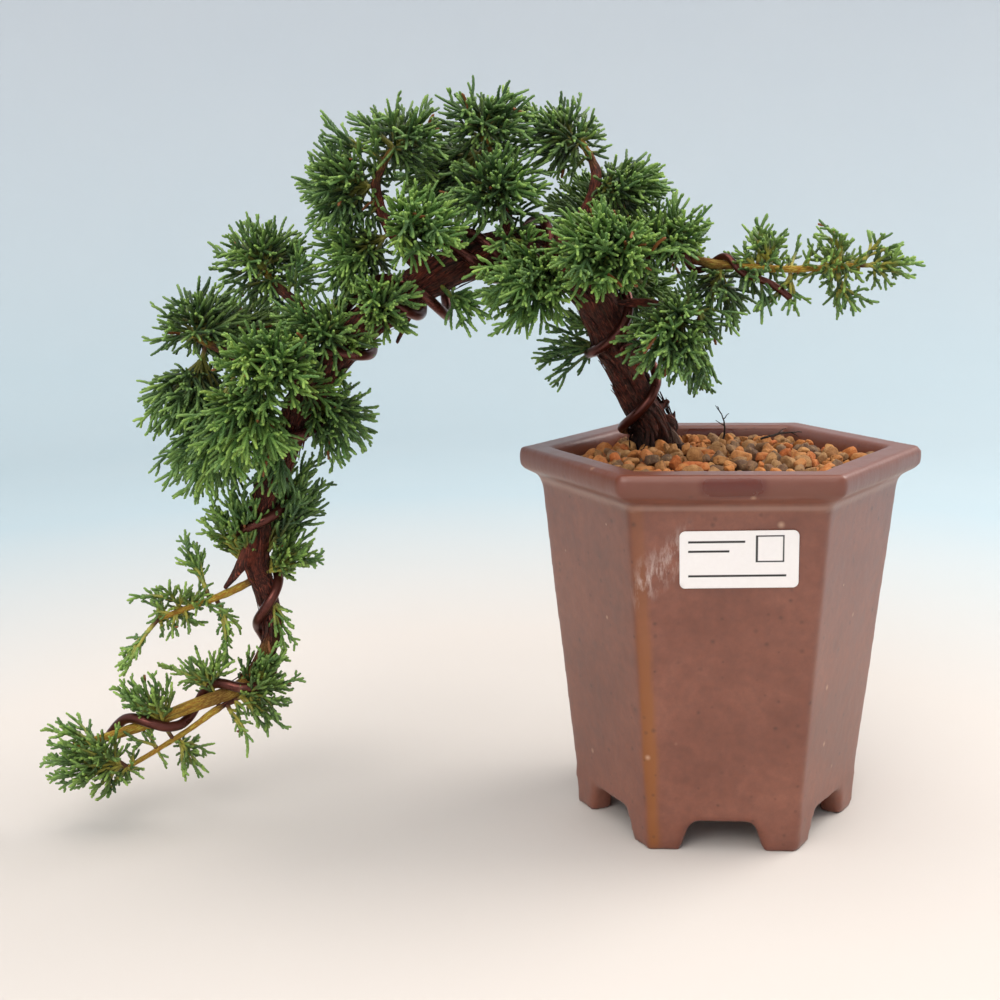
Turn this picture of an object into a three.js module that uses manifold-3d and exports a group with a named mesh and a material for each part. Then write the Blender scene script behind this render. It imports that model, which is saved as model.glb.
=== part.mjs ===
// A small cascade juniper bonsai in a hexagonal stoneware pot.
// Millimetres, +Z up. The pot's front face looks along -Y and its corners lie on the X axis.
// The finished group is moved so that its origin is the bottom centre of its bounding box.

import * as THREE from "three";
import { mergeVertices } from "three/addons/utils/BufferGeometryUtils.js";
import Module from "manifold-3d";

const wasm = await Module();
wasm.setup();

// ---------------------------------------------------------------- driving dimensions

const GAP = 0.3; // air left between two neighbouring solids

// Pot: a six-sided taper. Every radius is measured to a corner.
const SIDES = 6;
const POT_HEIGHT = 110;
const FOOT_RADIUS = 40.9;
const RIM_RADIUS = 58;
const LIP_OVERHANG = 5.8;
const LIP_THICKNESS = 6;
const LIP_ROUND = 1;
const LIP_UNDERCUT = 2.4;
const WALL = 4.2;
const FLOOR_THICKNESS = 4.5;
const RECESS_HEIGHT = 9.5; // hollow under the floor
const RING_WALL = 6; // width of the ring that the feet are cut from
const ARCH_HEIGHT = 9;
const ARCH_FOOT_WIDTH = 24;
const ARCH_TOP_WIDTH = 18;
const ARCH_SHOULDER = 2.5;
const DRAIN_DIAMETER = 14;
const DRAIN_SIDES = 24;

// Drainage mesh and the wire staple that keeps it over the hole.
const MESH_SIZE = 25;
const MESH_THICKNESS = 0.8;
const MESH_CELLS = 5;
const MESH_STRAND = 1.4;
const STAPLE_WIRE = 1.2;
const STAPLE_FOOT = 8;

// Gravel bed.
const SOIL_BELOW_RIM = 3;
const SOIL_MOUND = 2.5;
const MOUND_REACH = 0.55; // share of the bed's radius that the mound covers
const MOUND_SHOULDER = 0.7; // share of the mound's height at that radius

// Paper label on the front face.
const LABEL_WIDTH = 31.3;
const LABEL_HEIGHT = 15.6;
const LABEL_CORNER = 1.6;
const LABEL_THICKNESS = 0.3;
const LABEL_CENTRE_X = 2.7;
const LABEL_BELOW_RIM = 23.6;

// Where the stem leaves the gravel, measured from the pot's axis.
const STEM_X = -18;
const STEM_Y = 20;
const STEM_GIRTH = 1; // multiplies every diameter of the main stem

// Training wires.
const THICK_WIRE = 3;
const THIN_WIRE = 2;
const WIRE_CLEARANCE = 1.5 * GAP; // room that the wood leaves round a wire
const WIRE_PITCH = 27.5;
const LOOP_PLACE = 118; // distance along the stem of the loose loop
const LOOP_REACH = 7;
const LOOP_SLACK = 4;

// Fineness of the round pieces.
const TURN_STEPS = 10;
const WIRE_SIDES = 6;
const STEM_SIDES = 8;
const STEM_STEPS = 3;
const LIMB_SIDES = 6;
const LIMB_STEPS = 2;
const TWIG_SIDES = 6;
const TWIG_STEPS = 3;
const CORNER_STEPS = 3;

// Foliage pads.
const SPRAY_SIZE = 1; // multiplies the radii of every pad
const PAD_DETAIL = 1; // rounds of splitting an icosahedron's faces
const PAD_LUMP = 0.1; // how far a pad's skin wanders, as a share of its radius
const PAD_WAVES = [5, 4, 5]; // how quickly it wanders along X, Y and Z

// ---------------------------------------------------------------- materials

function finish(color, roughness, metalness = 0) {
  return new THREE.MeshStandardMaterial({ color, roughness, metalness });
}

const finishes = {
  stoneware: () => finish(0x7a4f40, 0.42),
  gravel: () => finish(0xb5763f, 0.95),
  plastic: () => finish(0x23262a, 0.6),
  aluminium: () => finish(0x4a221c, 0.35, 0.8),
  paper: () => finish(0xf1f1ee, 0.7),
  bark: () => finish(0x5a2c20, 0.85),
  greenwood: () => finish(0xa88b2e, 0.7),
  deadwood: () => finish(0x3a2a24, 0.9),
  foliage: () => finish(0x3f6b2c, 0.7),
};

// ---------------------------------------------------------------- solids

// A closed three.js geometry as a solid that can be joined and cut.
function solidOf(geometry) {
  const bare = geometry.clone();
  bare.deleteAttribute("normal");
  bare.deleteAttribute("uv");
  const merged = mergeVertices(bare);
  const mesh = new wasm.Mesh({
    numProp: 3,
    vertProperties: new Float32Array(merged.attributes.position.array),
    triVerts: new Uint32Array(merged.index.array),
  });
  return new wasm.Manifold(mesh);
}

// The largest single body of a solid, as a three.js geometry.
function geometryOf(solid) {
  const bodies = solid.decompose();
  const largest = bodies.reduce((best, body) => (body.volume() > best.volume() ? body : best));
  const mesh = largest.getMesh();
  const geometry = new THREE.BufferGeometry();
  geometry.setAttribute("position", new THREE.BufferAttribute(mesh.vertProperties, 3));
  geometry.setIndex(new THREE.BufferAttribute(mesh.triVerts, 1));
  geometry.computeVertexNormals();
  return geometry;
}

function joined(solids) {
  return solids.reduce((sum, solid) => sum.add(solid));
}

function cutBy(solid, cutters) {
  return cutters.reduce((rest, cutter) => rest.subtract(cutter), solid);
}

function named(name, geometry, material) {
  const mesh = new THREE.Mesh(geometry, material);
  mesh.name = name;
  return mesh;
}

// ---------------------------------------------------------------- tapered tubes

// A route is a list of [x, y, z, diameter] stations along a grown piece.
function curveOf(route) {
  const stations = route.map(([x, y, z]) => new THREE.Vector3(x, y, z));
  return new THREE.CatmullRomCurve3(stations, false, "centripetal");
}

function radiusAt(route, t) {
  const place = t * (route.length - 1);
  const before = Math.min(Math.floor(place), route.length - 2);
  return THREE.MathUtils.lerp(route[before][3], route[before + 1][3], place - before) / 2;
}

// Two directions square to the curve at t, the first one nearest to the reference.
function crossDirections(curve, t, reference) {
  const along = curve.getTangent(t);
  const first = reference.clone().addScaledVector(along, -reference.dot(along)).normalize();
  const second = along.clone().cross(first);
  return [first, second];
}

function steadyReference(route) {
  const chord = curveOf(route).getPoint(1).sub(curveOf(route).getPoint(0));
  const share = (axis) => Math.abs(axis.dot(chord));
  const axes = [new THREE.Vector3(1, 0, 0), new THREE.Vector3(0, 1, 0), new THREE.Vector3(0, 0, 1)];
  return axes.reduce((best, axis) => (share(axis) < share(best) ? axis : best));
}

// A closed tube along a route, thicker than the route says by `extra` on every side.
function taperedTube(route, sides, stepsPerStation, extra = 0) {
  const curve = curveOf(route);
  const reference = steadyReference(route);
  const rings = (route.length - 1) * stepsPerStation;
  const outside = extra > 0 ? 1 / Math.cos(Math.PI / sides) : 1;
  const positions = [];
  for (let ring = 0; ring <= rings; ring += 1) {
    const t = ring / rings;
    const centre = curve.getPoint(t);
    const [first, second] = crossDirections(curve, t, reference);
    const radius = (radiusAt(route, t) + extra) * outside;
    for (let side = 0; side < sides; side += 1) {
      const angle = (2 * Math.PI * side) / sides;
      const point = centre.clone();
      point.addScaledVector(first, radius * Math.cos(angle));
      point.addScaledVector(second, radius * Math.sin(angle));
      positions.push(point.x, point.y, point.z);
    }
  }
  const start = curve.getPoint(0).addScaledVector(curve.getTangent(0), -extra);
  const end = curve.getPoint(1).addScaledVector(curve.getTangent(1), extra);
  positions.push(start.x, start.y, start.z, end.x, end.y, end.z);
  const startIndex = (rings + 1) * sides;
  const endIndex = startIndex + 1;
  const faces = [];
  for (let side = 0; side < sides; side += 1) {
    const next = (side + 1) % sides;
    for (let ring = 0; ring < rings; ring += 1) {
      const low = ring * sides;
      const high = low + sides;
      faces.push(low + side, low + next, high + next);
      faces.push(low + side, high + next, high + side);
    }
    faces.push(startIndex, next, side);
    faces.push(endIndex, rings * sides + side, rings * sides + next);
  }
  const geometry = new THREE.BufferGeometry();
  geometry.setAttribute("position", new THREE.BufferAttribute(new Float32Array(positions), 3));
  geometry.setIndex(faces);
  return geometry;
}

function tubeSolid(route, sides, stepsPerStation, extra = 0) {
  return solidOf(taperedTube(route, sides, stepsPerStation, extra));
}

// ---------------------------------------------------------------- pot

const BODY_TOP_RADIUS = RIM_RADIUS - LIP_OVERHANG;
const LIP_BOTTOM = POT_HEIGHT - LIP_THICKNESS;
const BODY_TOP = LIP_BOTTOM - LIP_UNDERCUT;
const FLOOR_TOP = RECESS_HEIGHT + FLOOR_THICKNESS;
const TO_FLAT = Math.cos(Math.PI / SIDES); // corner radius to flat distance

function outerRadius(z) {
  return FOOT_RADIUS + ((BODY_TOP_RADIUS - FOOT_RADIUS) * z) / BODY_TOP;
}

function cavityRadius(z) {
  return outerRadius(z) - WALL / TO_FLAT;
}

// A six-sided solid from a closed profile of [corner radius, z] points.
function hexagonal(profile) {
  const outline = profile.map(([radius, z]) => new THREE.Vector2(radius, z));
  const geometry = new THREE.LatheGeometry(outline, SIDES, Math.PI / SIDES);
  geometry.rotateX(Math.PI / 2);
  return solidOf(geometry);
}

// The opening between two feet, pointing along -Y.
function archCutter() {
  const half = ARCH_TOP_WIDTH / 2;
  const slope = (ARCH_FOOT_WIDTH - ARCH_TOP_WIDTH) / 2 / ARCH_HEIGHT;
  const shoulderX = half + slope * ARCH_SHOULDER;
  const shoulderZ = ARCH_HEIGHT - ARCH_SHOULDER;
  const outline = new THREE.Shape();
  outline.moveTo(-ARCH_FOOT_WIDTH / 2 - slope * WALL, -WALL);
  outline.lineTo(ARCH_FOOT_WIDTH / 2 + slope * WALL, -WALL);
  outline.lineTo(shoulderX, shoulderZ);
  outline.quadraticCurveTo(half, ARCH_HEIGHT, half - ARCH_SHOULDER, ARCH_HEIGHT);
  outline.lineTo(ARCH_SHOULDER - half, ARCH_HEIGHT);
  outline.quadraticCurveTo(-half, ARCH_HEIGHT, -shoulderX, shoulderZ);
  const inner = (FOOT_RADIUS - 2 * RING_WALL) * TO_FLAT;
  const outer = RIM_RADIUS;
  const geometry = new THREE.ExtrudeGeometry(outline, {
    depth: outer - inner,
    bevelEnabled: false,
    curveSegments: CORNER_STEPS,
  });
  geometry.rotateX(Math.PI / 2);
  geometry.translate(0, -inner, 0);
  return geometry;
}

function makePot() {
  const ringInner = FOOT_RADIUS - RING_WALL / TO_FLAT;
  const body = hexagonal([
    [0, RECESS_HEIGHT],
    [ringInner, RECESS_HEIGHT],
    [ringInner, 0],
    [FOOT_RADIUS, 0],
    [BODY_TOP_RADIUS, BODY_TOP],
    [RIM_RADIUS - LIP_ROUND, LIP_BOTTOM],
    [RIM_RADIUS, LIP_BOTTOM + LIP_ROUND],
    [RIM_RADIUS, POT_HEIGHT - LIP_ROUND],
    [RIM_RADIUS - LIP_ROUND, POT_HEIGHT],
    [cavityRadius(POT_HEIGHT) + LIP_ROUND, POT_HEIGHT],
    [cavityRadius(POT_HEIGHT), POT_HEIGHT - LIP_ROUND],
    [cavityRadius(FLOOR_TOP), FLOOR_TOP],
    [0, FLOOR_TOP],
  ]);
  const drainRadius = DRAIN_DIAMETER / 2;
  const drain = new THREE.CylinderGeometry(drainRadius, drainRadius, 2 * FLOOR_TOP, DRAIN_SIDES);
  drain.rotateX(Math.PI / 2);
  const cutters = [solidOf(drain)];
  for (let side = 0; side < SIDES; side += 1) {
    const arch = archCutter();
    arch.rotateZ((2 * Math.PI * side) / SIDES);
    cutters.push(solidOf(arch));
  }
  return named("pot", geometryOf(cutBy(body, cutters)), finishes.stoneware());
}

// ---------------------------------------------------------------- drainage mesh and staple

const MESH_BOTTOM = FLOOR_TOP + GAP;
const MESH_TOP = MESH_BOTTOM + MESH_THICKNESS;

function boxSolid(width, depth, height, x, y, z) {
  const geometry = new THREE.BoxGeometry(width, depth, height);
  geometry.translate(x, y, z);
  return solidOf(geometry);
}

const CELL_PITCH = (MESH_SIZE - MESH_STRAND) / MESH_CELLS;

function makeDrainageMesh() {
  const centre = MESH_BOTTOM + MESH_THICKNESS / 2;
  const plate = boxSolid(MESH_SIZE, MESH_SIZE, MESH_THICKNESS, 0, 0, centre);
  const hole = CELL_PITCH - MESH_STRAND;
  const middle = (MESH_CELLS - 1) / 2;
  const holes = [];
  for (let column = 0; column < MESH_CELLS; column += 1) {
    for (let row = 0; row < MESH_CELLS; row += 1) {
      const x = (column - middle) * CELL_PITCH;
      const y = (row - middle) * CELL_PITCH;
      holes.push(boxSolid(hole, hole, 2 * MESH_THICKNESS, x, y, centre));
    }
  }
  return named("drainage_mesh", geometryOf(cutBy(plate, holes)), finishes.plastic());
}

// Over the mesh, down through two of its holes and the drain hole, and bent out under the floor.
function stapleRoute() {
  const leg = CELL_PITCH;
  const top = MESH_TOP + GAP + STAPLE_WIRE / 2;
  const bottom = RECESS_HEIGHT - GAP - STAPLE_WIRE;
  const reach = DRAIN_DIAMETER / 2 + STAPLE_FOOT;
  return [
    [-reach, 0, bottom, STAPLE_WIRE],
    [-leg - STAPLE_WIRE, 0, bottom, STAPLE_WIRE],
    [-leg, 0, bottom + STAPLE_WIRE, STAPLE_WIRE],
    [-leg, 0, top - STAPLE_WIRE, STAPLE_WIRE],
    [-leg + STAPLE_WIRE, 0, top, STAPLE_WIRE],
    [leg - STAPLE_WIRE, 0, top, STAPLE_WIRE],
    [leg, 0, top - STAPLE_WIRE, STAPLE_WIRE],
    [leg, 0, bottom + STAPLE_WIRE, STAPLE_WIRE],
    [leg + STAPLE_WIRE, 0, bottom, STAPLE_WIRE],
    [reach, 0, bottom, STAPLE_WIRE],
  ];
}

// ---------------------------------------------------------------- label

function makeLabel() {
  const halfWidth = LABEL_WIDTH / 2;
  const halfHeight = LABEL_HEIGHT / 2;
  const outline = new THREE.Shape();
  outline.moveTo(LABEL_CORNER - halfWidth, -halfHeight);
  outline.lineTo(halfWidth - LABEL_CORNER, -halfHeight);
  outline.quadraticCurveTo(halfWidth, -halfHeight, halfWidth, LABEL_CORNER - halfHeight);
  outline.lineTo(halfWidth, halfHeight - LABEL_CORNER);
  outline.quadraticCurveTo(halfWidth, halfHeight, halfWidth - LABEL_CORNER, halfHeight);
  outline.lineTo(LABEL_CORNER - halfWidth, halfHeight);
  outline.quadraticCurveTo(-halfWidth, halfHeight, -halfWidth, halfHeight - LABEL_CORNER);
  outline.lineTo(-halfWidth, LABEL_CORNER - halfHeight);
  outline.quadraticCurveTo(-halfWidth, -halfHeight, LABEL_CORNER - halfWidth, -halfHeight);
  const geometry = new THREE.ExtrudeGeometry(outline, {
    depth: LABEL_THICKNESS,
    bevelEnabled: false,
    curveSegments: CORNER_STEPS,
  });
  const flare = Math.atan(((BODY_TOP_RADIUS - FOOT_RADIUS) * TO_FLAT) / BODY_TOP);
  const height = POT_HEIGHT - LABEL_BELOW_RIM;
  const label = named("label", geometryOf(solidOf(geometry)), finishes.paper());
  label.rotation.x = Math.PI / 2 + flare;
  label.position.set(LABEL_CENTRE_X, -outerRadius(height) * TO_FLAT - GAP, height);
  return label;
}

// ---------------------------------------------------------------- the tree's routes

// Stations of [x, y, z, diameter], measured from where the stem leaves the gravel.
const stemRoute = [
  [1, 1, -8, 15],
  [0, 0, 0, 12.5],
  [-5, -3, 14, 11.5],
  [-12, -10, 31, 12.5],
  [-20, -20, 50, 13],
  [-28, -18, 58, 12.5],
  [-40, -16, 60, 12],
  [-60, -20, 54, 12],
  [-80, -28, 42, 11],
  [-92, -33, 30, 10.5],
  [-102, -34, 16, 10],
  [-109, -33, 0, 9],
  [-116, -30, -16, 8],
  [-118, -28, -32, 7.5],
  [-114, -28, -51, 6],
  [-117, -30, -60, 5.5],
  [-123, -32, -68, 5],
  [-137, -36, -73, 4.5],
  [-154, -40, -79, 3.8],
  [-173, -44, -84, 2.6],
].map(([x, y, z, diameter]) => [x, y, z, diameter * STEM_GIRTH]);

// Roots and dead stubs that grew as one with the stem.
const stemGrowths = [
  [[1, 0, 3, 8], [7, -4, 0, 6], [12, -7, -5, 3]],
  [[0, -1, 2, 8], [-3, -8, -1, 5], [-5, -12, -5, 3]],
  [[0, 2, 2, 8], [2, 9, 0, 5], [4, 13, -5, 3]],
  [[-1, 0, 2, 8], [-8, 3, -1, 5], [-12, 5, -5, 3]],
  [[3, -1, 0, 6], [5.5, -3, 5, 4], [4, -3, 9, 1.6]],
  [[0, 0, 10, 5], [3.5, 0, 12.4, 3], [4.8, 0, 12.6, 1.6]],
  [[2, 1, 2, 4], [5, 1, 6, 2.2], [6.2, 1, 10, 1.4]],
  [[-12, -10, 29, 8], [-18, -11, 30, 5], [-20, -11, 28, 2]],
  [[-66, -22, 50, 5], [-70, -24, 43, 3], [-75, -26, 33, 1.4]],
  [[-116, -29, -20, 6], [-121, -32, -30, 4.5], [-127, -34, -38, 2]],
];

const limbRoutes = {
  limb_right: [
    [-20, -19, 54, 6], [-4, -20, 60, 4.5], [14, -24, 55, 3], [36, -26, 53, 2.2], [56, -28, 54, 1.6],
  ],
  limb_low_right: [[-16, -15, 42, 4], [-4, -22, 44, 2.4], [12, -28, 41.5, 1.4]],
  limb_crown: [[-27, -18, 58, 6], [-20, -18, 70, 4.5], [-17, -17, 80, 3.2], [-22, -13, 90, 2]],
  limb_crown_back: [[-20, -19, 50, 5], [-15, -2, 55, 4], [-10, 10, 62, 2.4]],
  limb_top: [[-42, -16, 60, 5], [-45, -15, 74, 3.6], [-50, -12, 92, 2]],
  limb_top_left: [[-66, -23, 52, 5], [-76, -26, 66, 4], [-80, -26, 78, 3], [-75, -23, 88, 2]],
  limb_shoulder: [[-88, -32, 34, 5], [-101, -30, 43, 4], [-113, -24, 54, 2.4]],
  limb_left: [[-98, -34, 22, 4.5], [-114, -37, 28, 3.6], [-134, -28, 36, 2.2]],
  limb_tail_left: [[-118, -29, -36, 3], [-128, -34, -40, 2.4], [-146, -38, -46, 1.6]],
  limb_tip_lower: [[-125, -33, -70, 2.6], [-138, -36, -80, 2], [-156, -44, -90, 1.4]],
};

// ---------------------------------------------------------------- training wires

// Wire laid round a route. `from` and `to` are distances along the route, `turn` is where it starts
// (0 is the front, a quarter is the side that the right hand's fingers point to) and `turns` is how
// far it goes round. Slack pushes it out where it hangs loose.
function woundWire({ route, from, to, turn, turns, wire, slack = () => 0 }) {
  const curve = curveOf(route);
  const length = curve.getLength();
  const front = new THREE.Vector3(0, -1, 0);
  const steps = Math.ceil(Math.abs(turns) * TURN_STEPS);
  const chordRise = 1 / Math.cos(Math.PI / TURN_STEPS);
  const points = [];
  for (let step = 0; step <= steps; step += 1) {
    const share = step / steps;
    const distance = THREE.MathUtils.lerp(from, to, share);
    const t = curve.getUtoTmapping(distance / length);
    const [ahead, across] = crossDirections(curve, t, front);
    const angle = 2 * Math.PI * (turn + turns * share);
    const reach = (radiusAt(route, t) + wire / 2 + GAP) * chordRise + slack(distance);
    const point = curve.getPoint(t);
    point.addScaledVector(ahead, reach * Math.cos(angle));
    point.addScaledVector(across, reach * Math.sin(angle));
    points.push(point);
  }
  return points;
}

// A steady helix on the stem that crosses its front at the distance `front`.
function stemHelix({ from, to, front }, slack) {
  const turn = (from - front) / WIRE_PITCH;
  const turns = (to - from) / WIRE_PITCH;
  return woundWire({ route: stemRoute, from, to, turn, turns, wire: THICK_WIRE, slack });
}

// The cascade wire hangs away from the stem in one loose loop under the arch.
function archSlack(distance) {
  const offset = (distance - LOOP_PLACE) / LOOP_REACH;
  return LOOP_SLACK * Math.exp(-offset * offset);
}

// Where each wire is laid, as distances along its wood and as turns round it.
const trunkHelix = { from: 6, to: 150, front: 23 };
const cascadeHelix = { from: 93, to: 306, front: 98 };
const anchorWinding = { route: stemRoute, from: 46, to: 37, turn: 0.02, turns: 0.36 };
const branchWinding = { route: limbRoutes.limb_right, from: 16, to: 46, turn: 0, turns: 2.1 };
const branchEnd = [new THREE.Vector3(31, -29, 49.5), new THREE.Vector3(37, -29, 45)];

const wires = {
  trunk_wire: { gauge: THICK_WIRE, points: stemHelix(trunkHelix) },
  cascade_wire: { gauge: THICK_WIRE, points: stemHelix(cascadeHelix, archSlack) },
  anchor_wire: { gauge: THIN_WIRE, points: woundWire({ ...anchorWinding, wire: THIN_WIRE }) },
  branch_wire: {
    gauge: THIN_WIRE,
    points: [...woundWire({ ...branchWinding, wire: THIN_WIRE }), ...branchEnd],
  },
};

function wireSolid({ gauge, points }, extra = 0) {
  const section = new THREE.Shape();
  section.absarc(0, 0, gauge / 2 + extra, 0, 2 * Math.PI);
  const path = new THREE.CatmullRomCurve3(points, false, "centripetal");
  const geometry = new THREE.ExtrudeGeometry(section, {
    steps: points.length - 1,
    curveSegments: WIRE_SIDES / 2,
    bevelEnabled: false,
    extrudePath: path,
  });
  return solidOf(geometry);
}

// ---------------------------------------------------------------- foliage pads

// [centre x, y, z, radius x, y, z], measured as the routes are.
const sprays = {
  crown_peak: [-28, -10, 91, 15, 20, 12],
  crown_high_right: [-8, -16, 76, 15, 22, 13],
  crown_right: [3, -26, 63, 12, 20, 11],
  crown_front: [-16, -46, 60, 15, 17, 13],
  crown_front_left: [-38, -42, 49, 14, 16, 13],
  crown_back: [-17, 12, 69, 19, 20, 16],
  crown_low_front: [3, -36, 35, 13, 18, 13],
  crown_low_right: [17, -22, 46, 12, 18, 11],
  crown_low_back: [-4, 8, 43, 14, 17, 12],
  right_near: [31, -24, 57, 11, 15, 10],
  right_middle: [48, -26, 55, 12, 13, 10],
  right_tip: [64, -28, 54, 11, 9, 7],
  top_middle: [-48, -14, 95, 15, 20, 10],
  top_left: [-72, -20, 91, 14, 20, 11],
  top_left_edge: [-89, -26, 77, 12, 20, 14],
  top_front: [-63, -48, 67, 12, 15, 11],
  top_back: [-62, 10, 80, 18, 19, 14],
  top_centre: [-46, -26, 77, 16, 17, 13],
  arch_left: [-88, -26, 58, 12, 20, 11],
  arch_under: [-77, -38, 46, 11, 13, 10],
  shoulder_top: [-114, -22, 57, 14, 20, 13],
  shoulder_right: [-94, -40, 38, 13, 18, 11],
  shoulder_left: [-131, -24, 39, 13, 20, 12],
  shoulder_front: [-105, -58, 31, 15, 16, 12],
  shoulder_back: [-118, 4, 30, 17, 19, 15],
  fall_left: [-136, -30, 17, 13, 20, 11],
  fall_front: [-114, -54, 12, 14, 16, 13],
  fall_right: [-94, -30, 12, 12, 18, 11],
  fall_low_left: [-131, -34, -2, 13, 18, 10],
  fall_low_right: [-108, -24, -8, 12, 16, 10],
  fall_end: [-126, -30, -17, 11, 14, 8],
  tail_right: [-107, -28, -27, 10, 11, 10],
  tail_left: [-140, -36, -42, 14, 8, 9],
  tail_right_low: [-115, -32, -66, 10, 9, 19],
  tip_upper: [-152, -42, -66, 12, 7, 6],
  tip_middle: [-136, -32, -62, 11, 7, 7],
  tip_hanging: [-139, -36, -88, 7, 7, 10],
  tip_end: [-166, -46, -86, 17, 9, 12],
};

// A lumpy closed pad, thicker than its spray by `extra` on every side.
function padSolid([x, y, z, rx, ry, rz], extra = 0) {
  const [alongX, alongY, alongZ] = PAD_WAVES;
  const geometry = new THREE.IcosahedronGeometry(1, PAD_DETAIL);
  const position = geometry.attributes.position;
  const point = new THREE.Vector3();
  for (let index = 0; index < position.count; index += 1) {
    point.fromBufferAttribute(position, index);
    const flatWave = Math.sin(alongX * point.x + x) * Math.sin(alongY * point.y + y);
    const reach = 1 + PAD_LUMP * flatWave * Math.cos(alongZ * point.z + z);
    point.set(
      point.x * (rx * SPRAY_SIZE * reach + extra) + x,
      point.y * (ry * SPRAY_SIZE * reach + extra) + y,
      point.z * (rz * SPRAY_SIZE * reach + extra) + z,
    );
    position.setXYZ(index, point.x, point.y, point.z);
  }
  return solidOf(geometry);
}

// ---------------------------------------------------------------- the tree

const wireRooms = Object.values(wires).map((wire) => wireSolid(wire, WIRE_CLEARANCE));
const stemTube = tubeSolid(stemRoute, STEM_SIDES, STEM_STEPS);
const growths = joined(stemGrowths.map((route) => tubeSolid(route, LIMB_SIDES, LIMB_STEPS)));
const stemShape = stemTube.add(cutBy(growths, wireRooms));
const stemRoom = joined([
  tubeSolid(stemRoute, STEM_SIDES, STEM_STEPS, GAP),
  ...stemGrowths.map((route) => tubeSolid(route, LIMB_SIDES, LIMB_STEPS, GAP)),
]);

function makeTree() {
  const tree = new THREE.Group();
  tree.add(named("trunk", geometryOf(stemShape), finishes.bark()));
  const wireWay = tubeSolid(stemRoute, STEM_SIDES, LIMB_STEPS, THICK_WIRE + 3 * GAP);
  const woodRoom = [wireWay, ...stemGrowths.map((route) => tubeSolid(route, LIMB_SIDES, 1, 2 * GAP))];
  for (const [name, route] of Object.entries(limbRoutes)) {
    const limb = cutBy(tubeSolid(route, LIMB_SIDES, LIMB_STEPS).subtract(stemRoom), wireRooms);
    tree.add(named(name, geometryOf(limb), finishes.greenwood()));
    const extra = name === "limb_right" ? THIN_WIRE + 3 * GAP : GAP;
    woodRoom.push(tubeSolid(route, LIMB_SIDES, LIMB_STEPS, extra));
  }
  for (const [name, wire] of Object.entries(wires)) {
    tree.add(named(name, geometryOf(wireSolid(wire)), finishes.aluminium()));
  }
  woodRoom.push(wireSolid(wires.branch_wire, GAP), wireSolid(wires.cascade_wire, GAP));
  const filled = [];
  for (const [name, spray] of Object.entries(sprays)) {
    const pad = cutBy(padSolid(spray), [...woodRoom, ...filled]);
    tree.add(named(`foliage_${name}`, geometryOf(pad), finishes.foliage()));
    filled.push(padSolid(spray, GAP));
  }
  return tree;
}

// ---------------------------------------------------------------- gravel and what lies in it

const SOIL_EDGE = POT_HEIGHT - SOIL_BELOW_RIM;
const STEM_FOOT = [STEM_X, STEM_Y, SOIL_EDGE + 1];

const looseTwigs = {
  rootlet: [[3, 31, SOIL_EDGE - 3, 1.2], [4, 30, SOIL_EDGE + 5, 1.1], [1.5, 29, SOIL_EDGE + 11, 0.7]],
  dead_twig: [
    [14, 20, SOIL_EDGE + 2, 1.1], [20, 22, SOIL_EDGE + 3.4, 1.3], [27, 24, SOIL_EDGE + 3.6, 0.8],
  ],
};

function twigSolid(route, extra = 0) {
  return tubeSolid(route, TWIG_SIDES, TWIG_STEPS, extra);
}

function makeSoil(stapleRoom) {
  const bottom = FLOOR_TOP + GAP;
  const clear = GAP / TO_FLAT;
  const bed = hexagonal([
    [0, bottom],
    [cavityRadius(bottom) - clear, bottom],
    [cavityRadius(SOIL_EDGE) - clear, SOIL_EDGE],
    [cavityRadius(SOIL_EDGE) * MOUND_REACH, SOIL_EDGE + SOIL_MOUND * MOUND_SHOULDER],
    [0, SOIL_EDGE + SOIL_MOUND],
  ]);
  const roomSize = MESH_SIZE + 2 * GAP;
  const meshRoom = boxSolid(roomSize, roomSize, 2 * MESH_THICKNESS + 2 * GAP, 0, 0, MESH_BOTTOM);
  const twigRoom = Object.values(looseTwigs).map((route) => twigSolid(route, GAP));
  const treeRooms = [stemRoom, wireSolid(wires.trunk_wire, GAP)].map((room) => room.translate(STEM_FOOT));
  const cutters = [meshRoom, stapleRoom, ...treeRooms, ...twigRoom];
  return named("soil_bed", geometryOf(cutBy(bed, cutters)), finishes.gravel());
}

// ---------------------------------------------------------------- assembly

const bonsai = new THREE.Group();
const staple = stapleRoute();
bonsai.add(makePot());
bonsai.add(makeDrainageMesh());
bonsai.add(named("mesh_staple", geometryOf(twigSolid(staple)), finishes.aluminium()));
bonsai.add(makeSoil(twigSolid(staple, GAP)));
bonsai.add(makeLabel());
for (const [name, route] of Object.entries(looseTwigs)) {
  bonsai.add(named(name, geometryOf(twigSolid(route)), finishes.deadwood()));
}
const tree = makeTree();
tree.position.set(...STEM_FOOT);
bonsai.add(tree);

const box = new THREE.Box3().setFromObject(bonsai);
bonsai.position.set(-(box.min.x + box.max.x) / 2, -(box.min.y + box.max.y) / 2, -box.min.z);

export default bonsai;
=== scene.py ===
"""Looks for a small cascade juniper bonsai in a six-sided stoneware pot.

Lengths are in metres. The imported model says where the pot, the wood, the wires and the pads of
foliage are, and every detailed piece is grown, wound, poured or glazed on those shapes.
"""

import heapq
import math

import bmesh
import bpy
import numpy as np
from mathutils import Matrix, Vector, noise
from mathutils.kdtree import KDTree


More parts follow.
